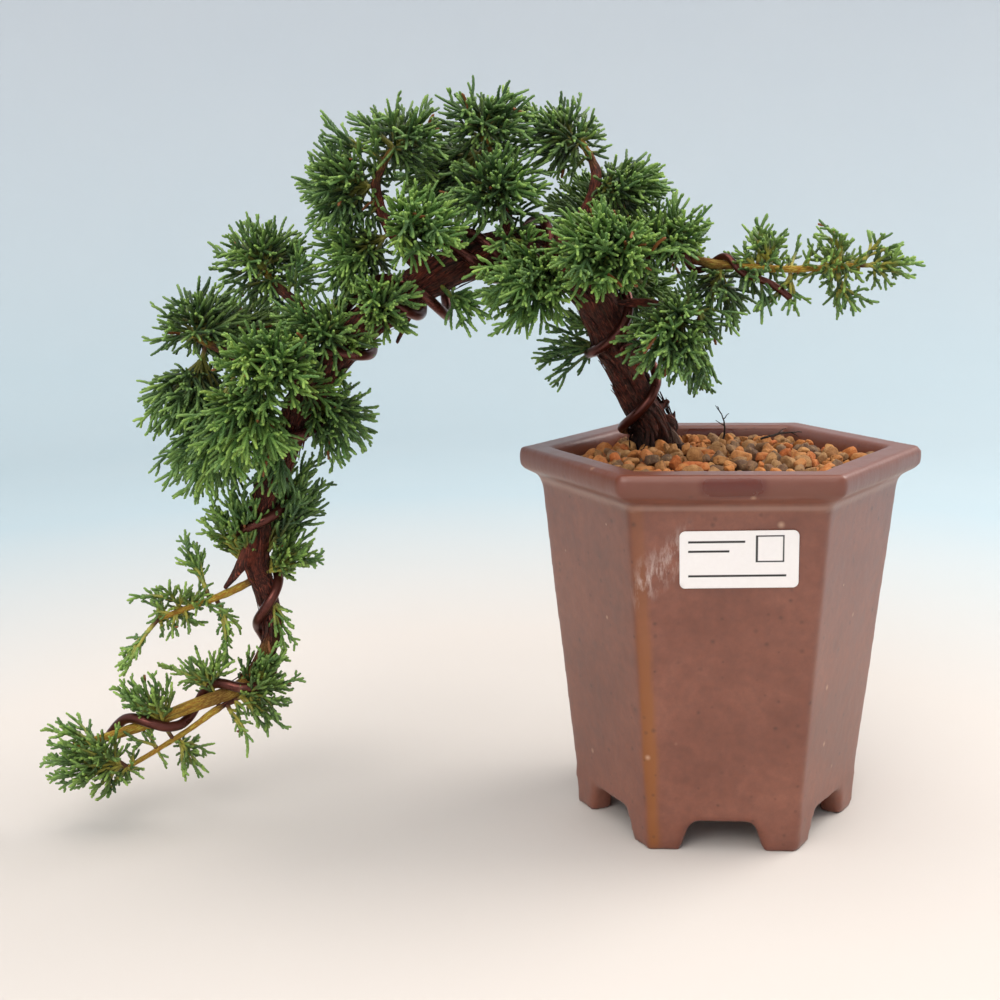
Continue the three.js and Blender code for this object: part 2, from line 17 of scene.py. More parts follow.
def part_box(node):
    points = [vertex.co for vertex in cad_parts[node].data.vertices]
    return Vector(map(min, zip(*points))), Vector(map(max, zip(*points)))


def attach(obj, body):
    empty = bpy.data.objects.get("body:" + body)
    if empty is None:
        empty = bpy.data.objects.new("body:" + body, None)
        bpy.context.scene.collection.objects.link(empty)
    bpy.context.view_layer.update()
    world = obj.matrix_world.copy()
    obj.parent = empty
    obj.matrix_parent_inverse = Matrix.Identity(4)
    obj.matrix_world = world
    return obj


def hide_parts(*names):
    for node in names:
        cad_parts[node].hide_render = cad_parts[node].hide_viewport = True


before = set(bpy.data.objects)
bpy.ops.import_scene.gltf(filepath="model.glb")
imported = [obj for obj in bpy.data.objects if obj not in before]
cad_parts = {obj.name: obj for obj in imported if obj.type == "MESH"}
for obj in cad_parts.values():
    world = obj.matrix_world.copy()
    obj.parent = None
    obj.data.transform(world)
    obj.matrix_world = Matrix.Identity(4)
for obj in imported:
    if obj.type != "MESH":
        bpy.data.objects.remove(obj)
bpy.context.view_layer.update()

MM = 0.001

# ---------------------------------------------------------------- places taken from the frame

POT_LOW, POT_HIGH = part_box("pot")
POT_AXIS = (POT_LOW + POT_HIGH) / 2
POT_TOP = POT_HIGH.z
TO_FLAT = math.cos(math.pi / 6)
SOIL_LOW, SOIL_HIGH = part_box("soil_bed")
FOLIAGE_NODES = sorted(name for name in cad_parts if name.startswith("foliage_"))
LIMB_NODES = sorted(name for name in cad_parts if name.startswith("limb_"))
# Where along a limb its bark turns green, and is all green.
GREEN_LIMBS = {"limb_tail_left": (0.0, 0.25), "limb_tip_lower": (0.0, 0.25), "limb_right": (0.3, 0.75)}
BROWN_LIMB = (0.65, 1.2)

# ---------------------------------------------------------------- maker's sizes

POT_NET = 0.92 * MM  # spacing of the pot's surface net
POT_SOFTENING = 4  # rounds that ease the slab joints
POT_REGAIN = 0.55 * MM  # what the easing takes off a slab joint
EDGE_POWER = 90  # the higher, the sharper the pot's upright edges
POT_WAVER = 0.16 * MM  # how far hand work leaves the walls from flat
FEET_TOP = 9.5 * MM
LIP_UNDERSIDE = POT_TOP - 9.5 * MM
WALL_BANDS = ((18 * MM, 21 * MM), (POT_TOP - 17 * MM, POT_TOP - 14 * MM))  # where the taper is read
OCHRE_EDGE = 240.0  # the upright edge where the glaze breaks to ochre, in degrees round the pot
GLOSS_PLACE = (0.4 * MM, POT_TOP - 3.1 * MM)  # the dark glossy patch on the lip: x and z
GLOSS_HALF = (8.6 * MM, 2.9 * MM)
SCUFF_PLACE = (-18 * MM, 84 * MM)  # the pale scuff beside the label: x and z

LABEL_CORNER = 1.6 * MM
LABEL_RULES = (  # from, to, height and half weight of each ruled line, in mm from the label's middle
    (-13.5, 1.5, 4.9, 0.28), (-13.5, -2.5, 2.4, 0.28), (-13.5, 12.5, -4.6, 0.35),
)
LABEL_BOX = (8.2, 2.9, 3.3, 3.75)  # its middle, and its inner and outer half size

BARK_NET = 0.5 * MM
BARK_RIDGE = 0.55 * MM  # depth of the fibrous ridges at the foot of the stem
BARK_LUMP = 0.95 * MM
BARK_TWIST = 60 * MM  # how far along the wood the fibres take to turn by one radian
STEM_FOOT = 60 * MM  # how much of the stem, from its root, counts as its foot
GREEN_STEM = (248 * MM, 300 * MM)  # where along the stem the bark turns green, and is all green
PEEL_COUNT = 330  # loose strips of bark
PEELS_ALL_ALONG = (262, 1.3)  # how far along the stem they are, and how much they lift, in mm
PEELS_AT_FOOT = (60, 2.2)
FLAP_ENDS = ((3.6, -3.4, 6.4), (7.4, -4.4, -3.0))  # top and base of the flake, from the stem, in mm
LIMB_ROOT = 2.2 * MM  # how deep a limb is rooted in the stem
THINNEST_LIMB = 0.45 * MM

GRAIN_SMALL = 1.7 * MM  # radii of the clay grains
GRAIN_LARGE = 3.5 * MM
GRAIN_LAYERS = 9 * MM  # depth of the bed that is poured grain by grain
GRAIN_DROPS = 1500
GRAIN_TRIES = 26  # places that each dropped grain may roll to
GRAIN_STRETCH = ((1.0, 1.25), (0.85, 1.05), (0.65, 0.9))  # of a grain's length, width and height
STEM_CLEARANCE = 4.6 * MM  # how far from the stem's middle the grains stay

CORD = 0.44 * MM  # radius of a leafy cord
CORD_SIDES = 6
SCALE_PITCH = 0.62 * MM  # spacing of the scale leaves along a cord
KNOB = 0.2  # how far a scale leaf stands out, as a share of the cord's radius
TIP_LENGTH = 5.5 * MM  # how far fresh growth reaches back from a tip
TIP_THINNING = 0.22

WIRE_GAUGES = {
    "trunk_wire": 3.0 * MM, "cascade_wire": 3.0 * MM, "anchor_wire": 2.0 * MM, "branch_wire": 2.0 * MM,
}
# Dry twigs: the node, the offshoots as place, length in mm and turn, and the seed of the kinks.
TWIGS = {
    "root_stub": ("rootlet", [(0.55, 3.4, 0.9), (0.7, 2.6, -0.8), (0.85, 3.0, 0.5)], 2.0),
    "fallen_twig": ("dead_twig", [(0.4, 3.5, 0.5), (0.75, 3.0, -0.6)], 5.0),
}

# Styles of growth, in millimetres and radians. Patch is the skin of a pad for each main shoot, roll
# the turn from one side shoot to the next, open and close how far a side shoot leans out where it
# starts and where it ends, forked the share that branches again, and fresh a lift of the tone.
TUFT = {
    "patch": 62, "roll": 1.9, "open": 0.8, "close": 0.26, "forked": 0.42, "lift": 0.0, "woody": 0.22,
    "side": 12.5, "side_spacing": 1.75, "side_from": 0.22, "least": 5.2, "fresh": 0.0,
    "fine": 4.0, "fine_spacing": 2.2, "fine_from": 0.42,
}
SPRAY = {
    "patch": 66, "roll": 0.35, "open": 0.92, "close": 0.5, "forked": 1.0, "lift": 0.15, "woody": 0.6,
    "side": 7.0, "side_spacing": 1.95, "side_from": 0.22, "least": 2.2, "fresh": 0.14,
    "fine": 2.7, "fine_spacing": 1.8, "fine_from": 0.15,
}
LEAST_FINE = 1.7  # the shortest fine shoot, in millimetres
LEAST_FORKED = 4.2 * MM  # a side shoot has to be longer than this to branch again
DEAD_SHARE = 0.007  # share of the shoots that have dried out
DULL_INSIDE = 0.6  # how much less fresh a shoot is at the root of its parent
SPRAY_NODES = ("right_", "tail_", "tip_", "fall_end")  # pads of flat sprays; the others are tufts
THICK_NODES, THICK_GROWTH = ("tail_", "tip_"), 1.35  # pads with more main shoots for their skin
FEWEST_SHOOTS = 8
SKIN_PLACES = 900  # places tried on a pad's skin for the ends of its main shoots
COVERED_SHARE = 0.42  # share of the places under a neighbouring pad that may still be taken

# Clumps that hang or reach out of a pad, in millimetres: the middle, the half sizes and the shoots.
OUTLIERS = {
    "top_left_edge": [((-37, -4, 201), (4, 6, 5), 4)],
    "arch_left": [((-36, -14, 157), (6, 7, 5), 6)],
    "arch_under": [((-31, -17, 141), (8, 7, 6), 6), ((-21, -18, 148), (6, 6, 5), 5)],
    "shoulder_front": [((-43, -18, 129), (9, 8, 9), 9)],
    "crown_front_left": [
        ((27, 16, 136), (8, 9, 9), 10), ((28, 14, 144), (5, 7, 5), 7), ((0, -16, 150), (5, 7, 4), 6),
        ((15, -18, 169), (9, 6, 6), 7),
    ],
    "crown_low_front": [((65, -10, 131), (7, 8, 4), 6)],
    "right_near": [((90, -4, 152), (12, 7, 5), 6), ((82, -5, 174), (6, 6, 4), 4)],
    "right_middle": [((104, -6, 150), (12, 7, 4), 7), ((103, -5, 172), (11, 6, 3), 4)],
    "right_tip": [((115, -6, 170), (5, 5, 4), 4)],
    "fall_low_left": [((-68, -14, 98), (5, 6, 6), 5), ((-58, -16, 103), (6, 6, 8), 7)],
    "fall_end": [((-85, -8, 84), (5, 6, 6), 6)],
    "tail_left": [((-73, -8, 55), (5, 5, 13), 11), ((-92, -14, 59), (9, 5, 4), 5)],
    "tail_right_low": [((-55, -8, 57), (4, 4, 6), 5), ((-71, -10, 25), (4, 5, 7), 4)],
    "tip_upper": [((-103, -20, 50), (4, 4, 5), 4)],
    "tip_end": [
        ((-122, -24, 33), (6, 5, 3), 4), ((-98, -18, 28), (6, 5, 4), 4), ((-108, -22, 12), (6, 5, 4), 4),
    ],
}
# How much shorter than its pad a spray is kept, in millimetres.
TRIMMED = {"crown_high_right": 3.2, "crown_peak": 1.5, "right_tip": 2.0, "right_middle": 1.0}


# ---------------------------------------------------------------- number helpers


def unit(vectors):
    return vectors / np.maximum(np.linalg.norm(vectors, axis=-1, keepdims=True), 1e-12)


def smooth_step(low, high, values):
    """0 at low and 1 at high, with soft ends."""
    share = np.clip((values - low) / (high - low), 0, 1)
    return share * share * (3 - 2 * share)


def ripple(points, size, seed=0.0):
    """Smooth noise from -1 to 1 at each point, with lumps of about the given size."""
    shift = Vector((seed, 1.7 * seed, -2.3 * seed))
    return np.array([noise.noise(Vector(p) / size + shift) for p in points])


def edges_of(faces):
    corners = faces.shape[1]
    pairs = [faces[:, [i, (i + 1) % corners]] for i in range(corners)]
    return np.unique(np.sort(np.concatenate(pairs), axis=1), axis=0)


def neighbour_mean(values, edges):
    """The mean of each point's neighbours, for columns of values."""
    count = len(values)
    degree = np.maximum(np.bincount(edges.ravel(), minlength=count), 1)
    mean = np.empty_like(values)
    for axis in range(values.shape[1]):
        total = np.bincount(edges[:, 0], values[edges[:, 1], axis], count)
        total += np.bincount(edges[:, 1], values[edges[:, 0], axis], count)
        mean[:, axis] = total / degree
    return mean


def relax(points, edges, rounds, pull=0.5):
    """Draws each point towards the middle of its neighbours."""
    for _ in range(rounds):
        points = points + pull * (neighbour_mean(points, edges) - points)
    return points


def normals_of(points, faces):
    crossed = np.cross(
        points[faces[:, 2]] - points[faces[:, 0]], points[faces[:, -1]] - points[faces[:, 1]]
    )
    total = np.zeros_like(points)
    for corner in range(faces.shape[1]):
        for axis in range(3):
            total[:, axis] += np.bincount(faces[:, corner], crossed[:, axis], len(points))
    return unit(total)


# ---------------------------------------------------------------- mesh helpers


def make_piece(name, points, face_sets, material, nodes=(), values=None, uv=None):
    """A piece that rides with the pot, from points and lists of faces with equal corner counts."""
    mesh = bpy.data.meshes.new(name)
    corner_total = sum(faces.size for faces in face_sets)
    mesh.vertices.add(len(points))
    mesh.vertices.foreach_set("co", np.ascontiguousarray(points, np.float32).ravel())
    mesh.loops.add(corner_total)
    order = np.concatenate([faces.ravel() for faces in face_sets])
    mesh.loops.foreach_set("vertex_index", order.astype(np.int32))
    sizes = np.concatenate([np.full(len(faces), faces.shape[1]) for faces in face_sets])
    starts = np.concatenate([[0], np.cumsum(sizes)[:-1]])
    mesh.polygons.add(len(sizes))
    mesh.polygons.foreach_set("loop_start", starts.astype(np.int32))
    mesh.update(calc_edges=True)
    for key, numbers in (values or {}).items():
        kind = "FLOAT_VECTOR" if numbers.ndim == 2 else "FLOAT"
        field = "vector" if numbers.ndim == 2 else "value"
        layer = mesh.attributes.new(key, kind, "POINT")
        layer.data.foreach_set(field, np.ascontiguousarray(numbers, np.float32).ravel())
    if uv is not None:
        layer = mesh.uv_layers.new(name="OFBake")
        layer.uv.foreach_set("vector", np.ascontiguousarray(uv, np.float32).ravel())
    mesh.validate()
    mesh.shade_smooth()
    mesh.materials.append(material)
    piece = bpy.data.objects.new(name, mesh)
    bpy.context.scene.collection.objects.link(piece)
    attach(piece, "root")
    if nodes:
        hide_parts(*nodes)
    return piece


def node_net(node, voxel):
    """A node's skin rebuilt as an even net of four-sided faces."""
    scratch = bpy.data.objects.new("net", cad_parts[node].data.copy())
    bpy.context.scene.collection.objects.link(scratch)
    welded = bmesh.new()
    welded.from_mesh(scratch.data)
    bmesh.ops.remove_doubles(welded, verts=welded.verts, dist=1e-6)
    welded.to_mesh(scratch.data)
    welded.free()
    net = scratch.modifiers.new("net", "REMESH")
    net.mode = "VOXEL"
    net.voxel_size = voxel
    bpy.context.view_layer.update()
    shaped = scratch.evaluated_get(bpy.context.evaluated_depsgraph_get())
    mesh = shaped.to_mesh()
    points = np.empty(len(mesh.vertices) * 3, np.float32)
    mesh.vertices.foreach_get("co", points)
    corners = np.empty(len(mesh.loops), np.int32)
    mesh.loops.foreach_get("vertex_index", corners)
    shaped.to_mesh_clear()
    bpy.data.objects.remove(scratch)
    return points.reshape(-1, 3).astype(float), corners.reshape(-1, 4)


def walk_from(start, points, edges):
    """The distance of every point from the start, measured along the net."""
    lengths = np.linalg.norm(points[edges[:, 0]] - points[edges[:, 1]], axis=1)
    ways = [[] for _ in points]
    for (a, b), length in zip(edges.tolist(), lengths.tolist()):
        ways[a].append((b, length))
        ways[b].append((a, length))
    reached = [math.inf] * len(points)
    reached[start] = 0.0
    queue = [(0.0, start)]
    while queue:
        so_far, here = heapq.heappop(queue)
        if so_far > reached[here]:
            continue
        for there, length in ways[here]:
            if so_far + length < reached[there]:
                reached[there] = so_far + length
                heapq.heappush(queue, (so_far + length, there))
    return np.array(reached)


def centreline(node, voxel, step):
    """The middle line of a long node and its radius along it, from the thick end to the thin one."""
    points, faces = node_net(node, voxel)
    edges = edges_of(faces)
    first_walk = walk_from(0, points, edges)
    first_walk[np.isinf(first_walk)] = -1
    distance = walk_from(int(np.argmax(first_walk)), points, edges)
    sound = np.isfinite(distance)
    points, distance = points[sound], distance[sound]
    count = max(4, int(distance.max() / step))
    marks = (np.arange(count) + 0.5) * distance.max() / count
    centres = []
    for mark in marks:
        near = points[np.abs(distance - mark) < step]
        if centres and len(near) > 8:
            spread = np.linalg.norm(near - centres[-1], axis=1)
            near = near[spread < np.percentile(spread, 80)]
        centres.append(near.mean(axis=0))
    centres = np.array(centres)
    radii = np.full(count, np.linalg.norm(points - centres[count // 2], axis=1).min())
    for _ in range(3):
        along = unit(np.gradient(centres, axis=0))
        moved, girth = [], []
        for index, mark in enumerate(marks):
            close = np.abs(distance - mark) < 2.5 * max(radii[index], step)
            offset = points[close] - centres[index]
            rise = offset @ along[index]
            ring = offset[np.abs(rise) < 0.7 * step + voxel]
            flat = ring - np.outer(ring @ along[index], along[index])
            reach = np.linalg.norm(flat, axis=1)
            kept = flat[reach < 1.35 * np.median(reach)] if len(flat) > 5 else flat
            shift = (kept.max(axis=0) + kept.min(axis=0)) / 2 if len(kept) > 5 else 0
            moved.append(centres[index] + shift)
            girth.append(np.median(reach) if len(reach) else radii[index])
        centres = np.array(moved)
        radii = np.array(girth)
        for _ in range(2):
            centres[1:-1] = (centres[:-2] + 2 * centres[1:-1] + centres[2:]) / 4
            radii[1:-1] = (radii[:-2] + 2 * radii[1:-1] + radii[2:]) / 4
    for end, inner in ((0, 1), (-1, -2)):
        outward = unit(centres[end] - centres[inner])
        tail = points[np.linalg.norm(points - centres[end], axis=1) < 2 * radii[end] + step]
        gain = ((tail - centres[end]) @ outward).max()
        centres[end] = centres[end] + outward * max(gain - voxel / 2, 0)
    quarter = max(1, count // 4)
    if radii[:quarter].mean() < radii[-quarter:].mean():
        centres, radii = centres[::-1], radii[::-1]
    return centres, radii


def resample(line, values, spacing):
    """The same line with evenly spaced points, at most `spacing` apart."""
    length = np.concatenate([[0], np.cumsum(np.linalg.norm(np.diff(line, axis=0), axis=1))])
    marks = np.linspace(0, length[-1], max(3, int(length[-1] / spacing) + 1))
    places = np.column_stack([np.interp(marks, length, line[:, axis]) for axis in range(3)])
    for _ in range(3):
        places[1:-1] = (places[:-2] + 2 * places[1:-1] + places[2:]) / 4
    return places, np.interp(marks, length, values), marks


def frames_along(paths):
    """Tangents and two steady cross directions for N paths of K points."""
    along = unit(np.gradient(paths, axis=1))
    helper = np.where(np.abs(along[:, :1, 2:]) < 0.9, [0.0, 0.0, 1.0], [1.0, 0.0, 0.0])
    side = unit(np.cross(along[:, 0], helper[:, 0]))
    sides = [side]
    for k in range(1, paths.shape[1]):
        side = side - along[:, k] * np.sum(side * along[:, k], axis=1, keepdims=True)
        side = unit(side)
        sides.append(side)
    across = np.stack(sides, axis=1)
    return along, across, np.cross(along, across)


def sweep(paths, radii, cap):
    """Closed tubes: radii is N x K x S. Cap is how far the end points stand out, in radii."""
    count, rings, sides = radii.shape
    along, across, up = frames_along(paths)
    angle = 2 * np.pi * np.arange(sides) / sides
    spokes = (
        np.cos(angle)[None, None, :, None] * across[:, :, None]
        + np.sin(angle)[None, None, :, None] * up[:, :, None]
    )
    skin = paths[:, :, None] + radii[..., None] * spokes
    first = paths[:, 0] - along[:, 0] * (cap * radii[:, 0].mean(axis=1))[:, None]
    last = paths[:, -1] + along[:, -1] * (cap * radii[:, -1].mean(axis=1))[:, None]
    points = np.concatenate(
        [skin.reshape(count, -1, 3), first[:, None], last[:, None]], axis=1
    )
    size = rings * sides + 2
    ring = np.arange(rings - 1)[:, None] * sides
    j = np.arange(sides)[None, :]
    k = (j + 1) % sides
    quads = np.stack([ring + j, ring + k, ring + sides + k, ring + sides + j], -1).reshape(-1, 4)
    top = (rings - 1) * sides
    j, k = j.ravel(), k.ravel()
    starts = np.stack([np.full(sides, size - 2), k, j], axis=-1)
    ends = np.stack([np.full(sides, size - 1), top + j, top + k], axis=-1)
    tris = np.concatenate([starts, ends])
    base = (np.arange(count) * size)[:, None, None]
    return points.reshape(-1, 3), (quads + base).reshape(-1, 4), (tris + base).reshape(-1, 3)


# ---------------------------------------------------------------- shader helpers


def tint(code):
    """A paint chip such as 8a5e4e as a linear colour."""
    parts = [int(code[i : i + 2], 16) / 255 for i in (0, 2, 4)]
    linear = [c / 12.92 if c <= 0.04045 else ((c + 0.055) / 1.055) ** 2.4 for c in parts]
    return (*linear, 1.0)


class Tree:
    """A node tree with short calls for the nodes that these finishes need."""

    def __init__(self, tree):
        self.tree = tree

    def feed(self, socket, value):
        if isinstance(value, bpy.types.NodeSocket):
            self.tree.links.new(value, socket)
        elif value is not None:
            socket.default_value = value

    def node(self, kind, inputs=None, **settings):
        node = self.tree.nodes.new(kind)
        for key, value in settings.items():
            setattr(node, key, value)
        for key, value in (inputs or {}).items():
            self.feed(node.inputs[key], value)
        return node

    def place(self):
        return self.node("ShaderNodeTexCoord").outputs["Object"]

    def painted(self, name, field="Fac"):
        return self.node("ShaderNodeAttribute", attribute_name=name).outputs[field]

    def scaled(self, vector, scale):
        return self.node("ShaderNodeMapping", {0: vector, 3: scale}).outputs[0]

    def cloud(self, vector, scale, detail=4.0, roughness=0.55):
        inputs = {"Vector": vector, "Scale": scale, "Detail": detail, "Roughness": roughness}
        return self.node("ShaderNodeTexNoise", inputs).outputs[0]

    def cells(self, vector, scale, feature="F1", field="Distance"):
        inputs = {"Vector": vector, "Scale": scale}
        return self.node("ShaderNodeTexVoronoi", inputs, feature=feature).outputs[field]

    def sum(self, operation, a, b=None, c=None):
        node = self.node("ShaderNodeMath", operation=operation)
        for index, value in enumerate((a, b, c)):
            self.feed(node.inputs[index], value)
        return node.outputs[0]

    def times(self, a, b):
        return self.sum("MULTIPLY", a, b)

    def span(self, value, low, high, start=0.0, end=1.0):
        inputs = {0: value, 1: low, 2: high, 3: start, 4: end}
        return self.node("ShaderNodeMapRange", inputs).outputs[0]

    def blend(self, share, a, b, mode="MIX"):
        node = self.node("ShaderNodeMix", data_type="RGBA", blend_type=mode)
        for index, value in ((0, share), (6, a), (7, b)):
            self.feed(node.inputs[index], value)
        return node.outputs[2]

    def stained(self, colour, mask, code, strength=1.0):
        """The colour with a paint chip laid over it where the mask is."""
        share = mask if strength == 1.0 else self.times(mask, strength)
        return self.blend(share, colour, tint(code))

    def bands(self, share, stops):
        """A colour ramp from a list of places and paint chips."""
        node = self.node("ShaderNodeValToRGB", {0: share})
        marks = node.color_ramp.elements
        while len(marks) < len(stops):
            marks.new(0.5)
        for mark, (place, colour) in zip(marks, stops):
            mark.position = place
            mark.color = tint(colour)
        return node.outputs[0]

    def bump(self, height, distance, strength=1.0, under=None):
        inputs = {"Height": height, "Distance": distance, "Strength": strength, "Normal": under}
        return self.node("ShaderNodeBump", inputs).outputs[0]

    def effect(self, group, inputs):
        node = self.node("ShaderNodeGroup", node_tree=group)
        for key, value in inputs.items():
            self.feed(node.inputs[key], value)
        return node.outputs

    def mottled(self, place, scale, contrast):
        inputs = {"Place": place, "Scale": scale, "Contrast": contrast}
        return self.effect(MOTTLE, inputs)["Mask"]

    def speckled(self, place, scale, share):
        return self.effect(SPECKS, {"Place": place, "Scale": scale, "Share": share})["Mask"]


def new_effect(name, inputs, outputs):
    """A shader group with named inputs and outputs, and its ends."""
    group = bpy.data.node_groups.new(name, "ShaderNodeTree")
    kinds = {"vector": "NodeSocketVector", "number": "NodeSocketFloat", "colour": "NodeSocketColor"}
    for key, kind in inputs.items():
        group.interface.new_socket(name=key, in_out="INPUT", socket_type=kinds[kind])
    for key, kind in outputs.items():
        group.interface.new_socket(name=key, in_out="OUTPUT", socket_type=kinds[kind])
    tree = Tree(group)
    ins = tree.node("NodeGroupInput").outputs
    outs = tree.node("NodeGroupOutput").inputs
    return group, tree, ins, outs


def new_finish(name, **constants):
    """A material with a Principled shader, its tree, and a function that feeds the shader."""
    material = bpy.data.materials.new(name)
    material.use_nodes = True
    material.node_tree.nodes.clear()
    tree = Tree(material.node_tree)
    shader = tree.node("ShaderNodeBsdfPrincipled")
    output = tree.node("ShaderNodeOutputMaterial")
    material.node_tree.links.new(shader.outputs[0], output.inputs[0])
    for key, value in constants.items():
        shader.inputs[key.replace("_", " ")].default_value = value
    return material, tree, lambda key, value: tree.feed(shader.inputs[key], value)


# ---------------------------------------------------------------- shared effects


def make_mottle():
    """Soft clouds over finer ones: the uneven fire of clay, the uneven age of bark."""
    group, tree, ins, outs = new_effect(
        "mottle", {"Place": "vector", "Scale": "number", "Contrast": "number"}, {"Mask": "number"}
    )
    broad = tree.cloud(ins["Place"], ins["Scale"], 3.0, 0.6)
    fine = tree.cloud(ins["Place"], tree.times(ins["Scale"], 6.0), 5.0, 0.6)
    both = tree.sum("ADD", tree.times(broad, 0.65), tree.times(fine, 0.35))
    centred = tree.times(tree.sum("SUBTRACT", both, 0.5), ins["Contrast"])
    tree.feed(outs["Mask"], tree.sum("ADD", centred, 0.5))
    return group


def make_specks():
    """Scattered dots: iron spots and pits in clay, pores in grains, lenticels on stems."""
    group, tree, ins, outs = new_effect(
        "specks", {"Place": "vector", "Scale": "number", "Share": "number"}, {"Mask": "number"}
    )
    reach = tree.cells(ins["Place"], ins["Scale"])
    chance = tree.node("ShaderNodeSeparateColor")
    tree.feed(chance.inputs[0], tree.cells(ins["Place"], ins["Scale"], field="Color"))
    chosen = tree.sum("LESS_THAN", chance.outputs[0], ins["Share"])
    size = tree.span(chance.outputs[1], 0.0, 1.0, 0.12, 0.34)
    dot = tree.sum("SMOOTH_MIN", 1.0, tree.sum("DIVIDE", reach, size), 0.2)
    tree.feed(outs["Mask"], tree.times(chosen, tree.sum("SUBTRACT", 1.0, dot)))
    return group


def make_fibre():
    """Long fibres that follow the painted grain of the wood."""
    group, tree, ins, outs = new_effect(
        "fibre", {"Grain": "vector", "Scale": "number"}, {"Relief": "number", "Flakes": "number"}
    )
    strands = tree.cloud(ins["Grain"], ins["Scale"], 5.0, 0.65)
    ridge = tree.sum("ABSOLUTE", tree.sum("SUBTRACT", strands, 0.5))
    flakes = tree.cloud(ins["Grain"], tree.times(ins["Scale"], 0.28), 3.0, 0.7)
    tree.feed(outs["Relief"], tree.span(ridge, 0.0, 0.2))
    tree.feed(outs["Flakes"], tree.span(flakes, 0.4, 0.62))
    return group


MOTTLE = make_mottle()
SPECKS = make_specks()
FIBRE = make_fibre()


# ---------------------------------------------------------------- finishes


def stoneware_finish():
    """Brown stoneware with a thin satin glaze that breaks to ochre on one edge."""
    material, tree, feed = new_finish("satin_stoneware", Coat_Roughness=0.22, Specular_IOR_Level=0.55)
    place = tree.place()
    cloud = tree.mottled(place, 34.0, 1.9)
    grit = tree.mottled(place, 420.0, 2.2)
    colour = tree.bands(cloud, [(0.2, "6b3b2b"), (0.5, "7c4735"), (0.85, "8d5541")])
    colour = tree.stained(colour, tree.span(grit, 0.3, 0.9, 0.0, 0.35), "5b382f")
    colour = tree.stained(colour, tree.painted("mauve"), "6c3b2b")
    colour = tree.stained(colour, tree.painted("ochre"), "8a4f1c")
    colour = tree.stained(colour, tree.painted("edge"), "6e3322", 0.55)
    colour = tree.stained(colour, tree.painted("gloss"), "5e2414")
    # Painted highlight: a pale line below the lip where a small ridge would catch the light.
    colour = tree.stained(colour, tree.painted("ridge_highlight"), "a88577", 0.4)
    pale = tree.speckled(place, 260.0, 0.05)
    dark = tree.speckled(place, 330.0, 0.34)
    pits = tree.speckled(place, 90.0, 0.05)
    colour = tree.stained(colour, dark, "2c1a16", 0.55)
    colour = tree.stained(colour, pale, "c9a184", 0.75)
    colour = tree.stained(colour, pits, "3a140c", 0.8)
    scratch = tree.cloud(tree.scaled(place, (500.0, 900.0, 130.0)), 1.0, 4.0, 0.7)
    scuff = tree.times(tree.painted("scuff"), tree.span(scratch, 0.46, 0.72))
    colour = tree.stained(colour, scuff, "c3aaa0")
    feed("Base Color", colour)
    rough = tree.span(cloud, 0.2, 0.9, 0.34, 0.46)
    rough = tree.sum("SUBTRACT", rough, tree.times(tree.painted("gloss"), 0.14))
    feed("Roughness", tree.sum("ADD", rough, tree.times(scuff, 0.3)))
    feed("Coat Weight", tree.span(cloud, 0.1, 0.9, 0.08, 0.22))
    skin = tree.sum("ADD", tree.times(grit, 0.5), tree.times(pits, -1.5))
    feed("Normal", tree.bump(skin, 0.12 * MM, 0.5))
    return material


def grain_finish():
    """Baked clay grains, each with its own tone, porous and dusty, with painted shade on the lower
    grains.
    """
    material, tree, feed = new_finish("baked_clay_grains", Specular_IOR_Level=0.3)
    place = tree.place()
    tone = tree.painted("tone")
    colour = tree.bands(tone, [
        (0.0, "5f4a3c"), (0.16, "7e6148"), (0.32, "977048"), (0.5, "ab7543"),
        (0.68, "bd783e"), (0.84, "b5602f"), (1.0, "c48f58"),
    ])
    cloud = tree.mottled(place, 380.0, 2.6)
    colour = tree.stained(colour, tree.span(cloud, 0.45, 1.0, 0.0, 0.6), "c99d68")
    colour = tree.stained(colour, tree.span(cloud, 0.5, 0.0, 0.0, 0.7), "6a3e22")
    pores = tree.speckled(place, 900.0, 0.4)
    colour = tree.stained(colour, pores, "3c2213", 0.8)
    # Painted shade: grains lower in the bed, and the soil under them, are darkened where they sit in the
    # gaps.
    colour = tree.stained(colour, tree.painted("depth"), "241007")
    feed("Base Color", colour)
    feed("Roughness", tree.span(cloud, 0.0, 1.0, 0.75, 0.95))
    relief = tree.sum("SUBTRACT", tree.cloud(place, 1500.0, 5.0, 0.7), pores)
    feed("Normal", tree.bump(relief, 0.4 * MM, 1.0))
    return material


def paper_finish():
    """Coated label paper with plain ruled lines."""
    material, tree, feed = new_finish("label_paper", Specular_IOR_Level=0.35)
    place = tree.place()
    pulp = tree.mottled(place, 900.0, 1.2)
    colour = tree.blend(pulp, tint("eee5e1"), tint("f6efeb"))
    colour = tree.stained(colour, tree.painted("ruled"), "2a2726")
    colour = tree.stained(colour, tree.painted("rubbed"), "a89a92", 0.5)
    feed("Base Color", colour)
    feed("Roughness", tree.span(pulp, 0.0, 1.0, 0.4, 0.55))
    feed("Normal", tree.bump(pulp, 0.03 * MM, 0.5))
    return material


def plastic_finish():
    """Black moulded mesh with a film of dried soil."""
    material, tree, feed = new_finish("mesh_plastic", Specular_IOR_Level=0.45)
    place = tree.place()
    cloud = tree.mottled(place, 160.0, 2.0)
    colour = tree.blend(cloud, tint("1b1f22"), tint("34302b"))
    feed("Base Color", tree.stained(colour, tree.span(cloud, 0.6, 1.0, 0.0, 0.5), "6a4a30"))
    feed("Roughness", tree.span(cloud, 0.0, 1.0, 0.45, 0.75))
    feed("Normal", tree.bump(cloud, 0.05 * MM, 0.6))
    return material


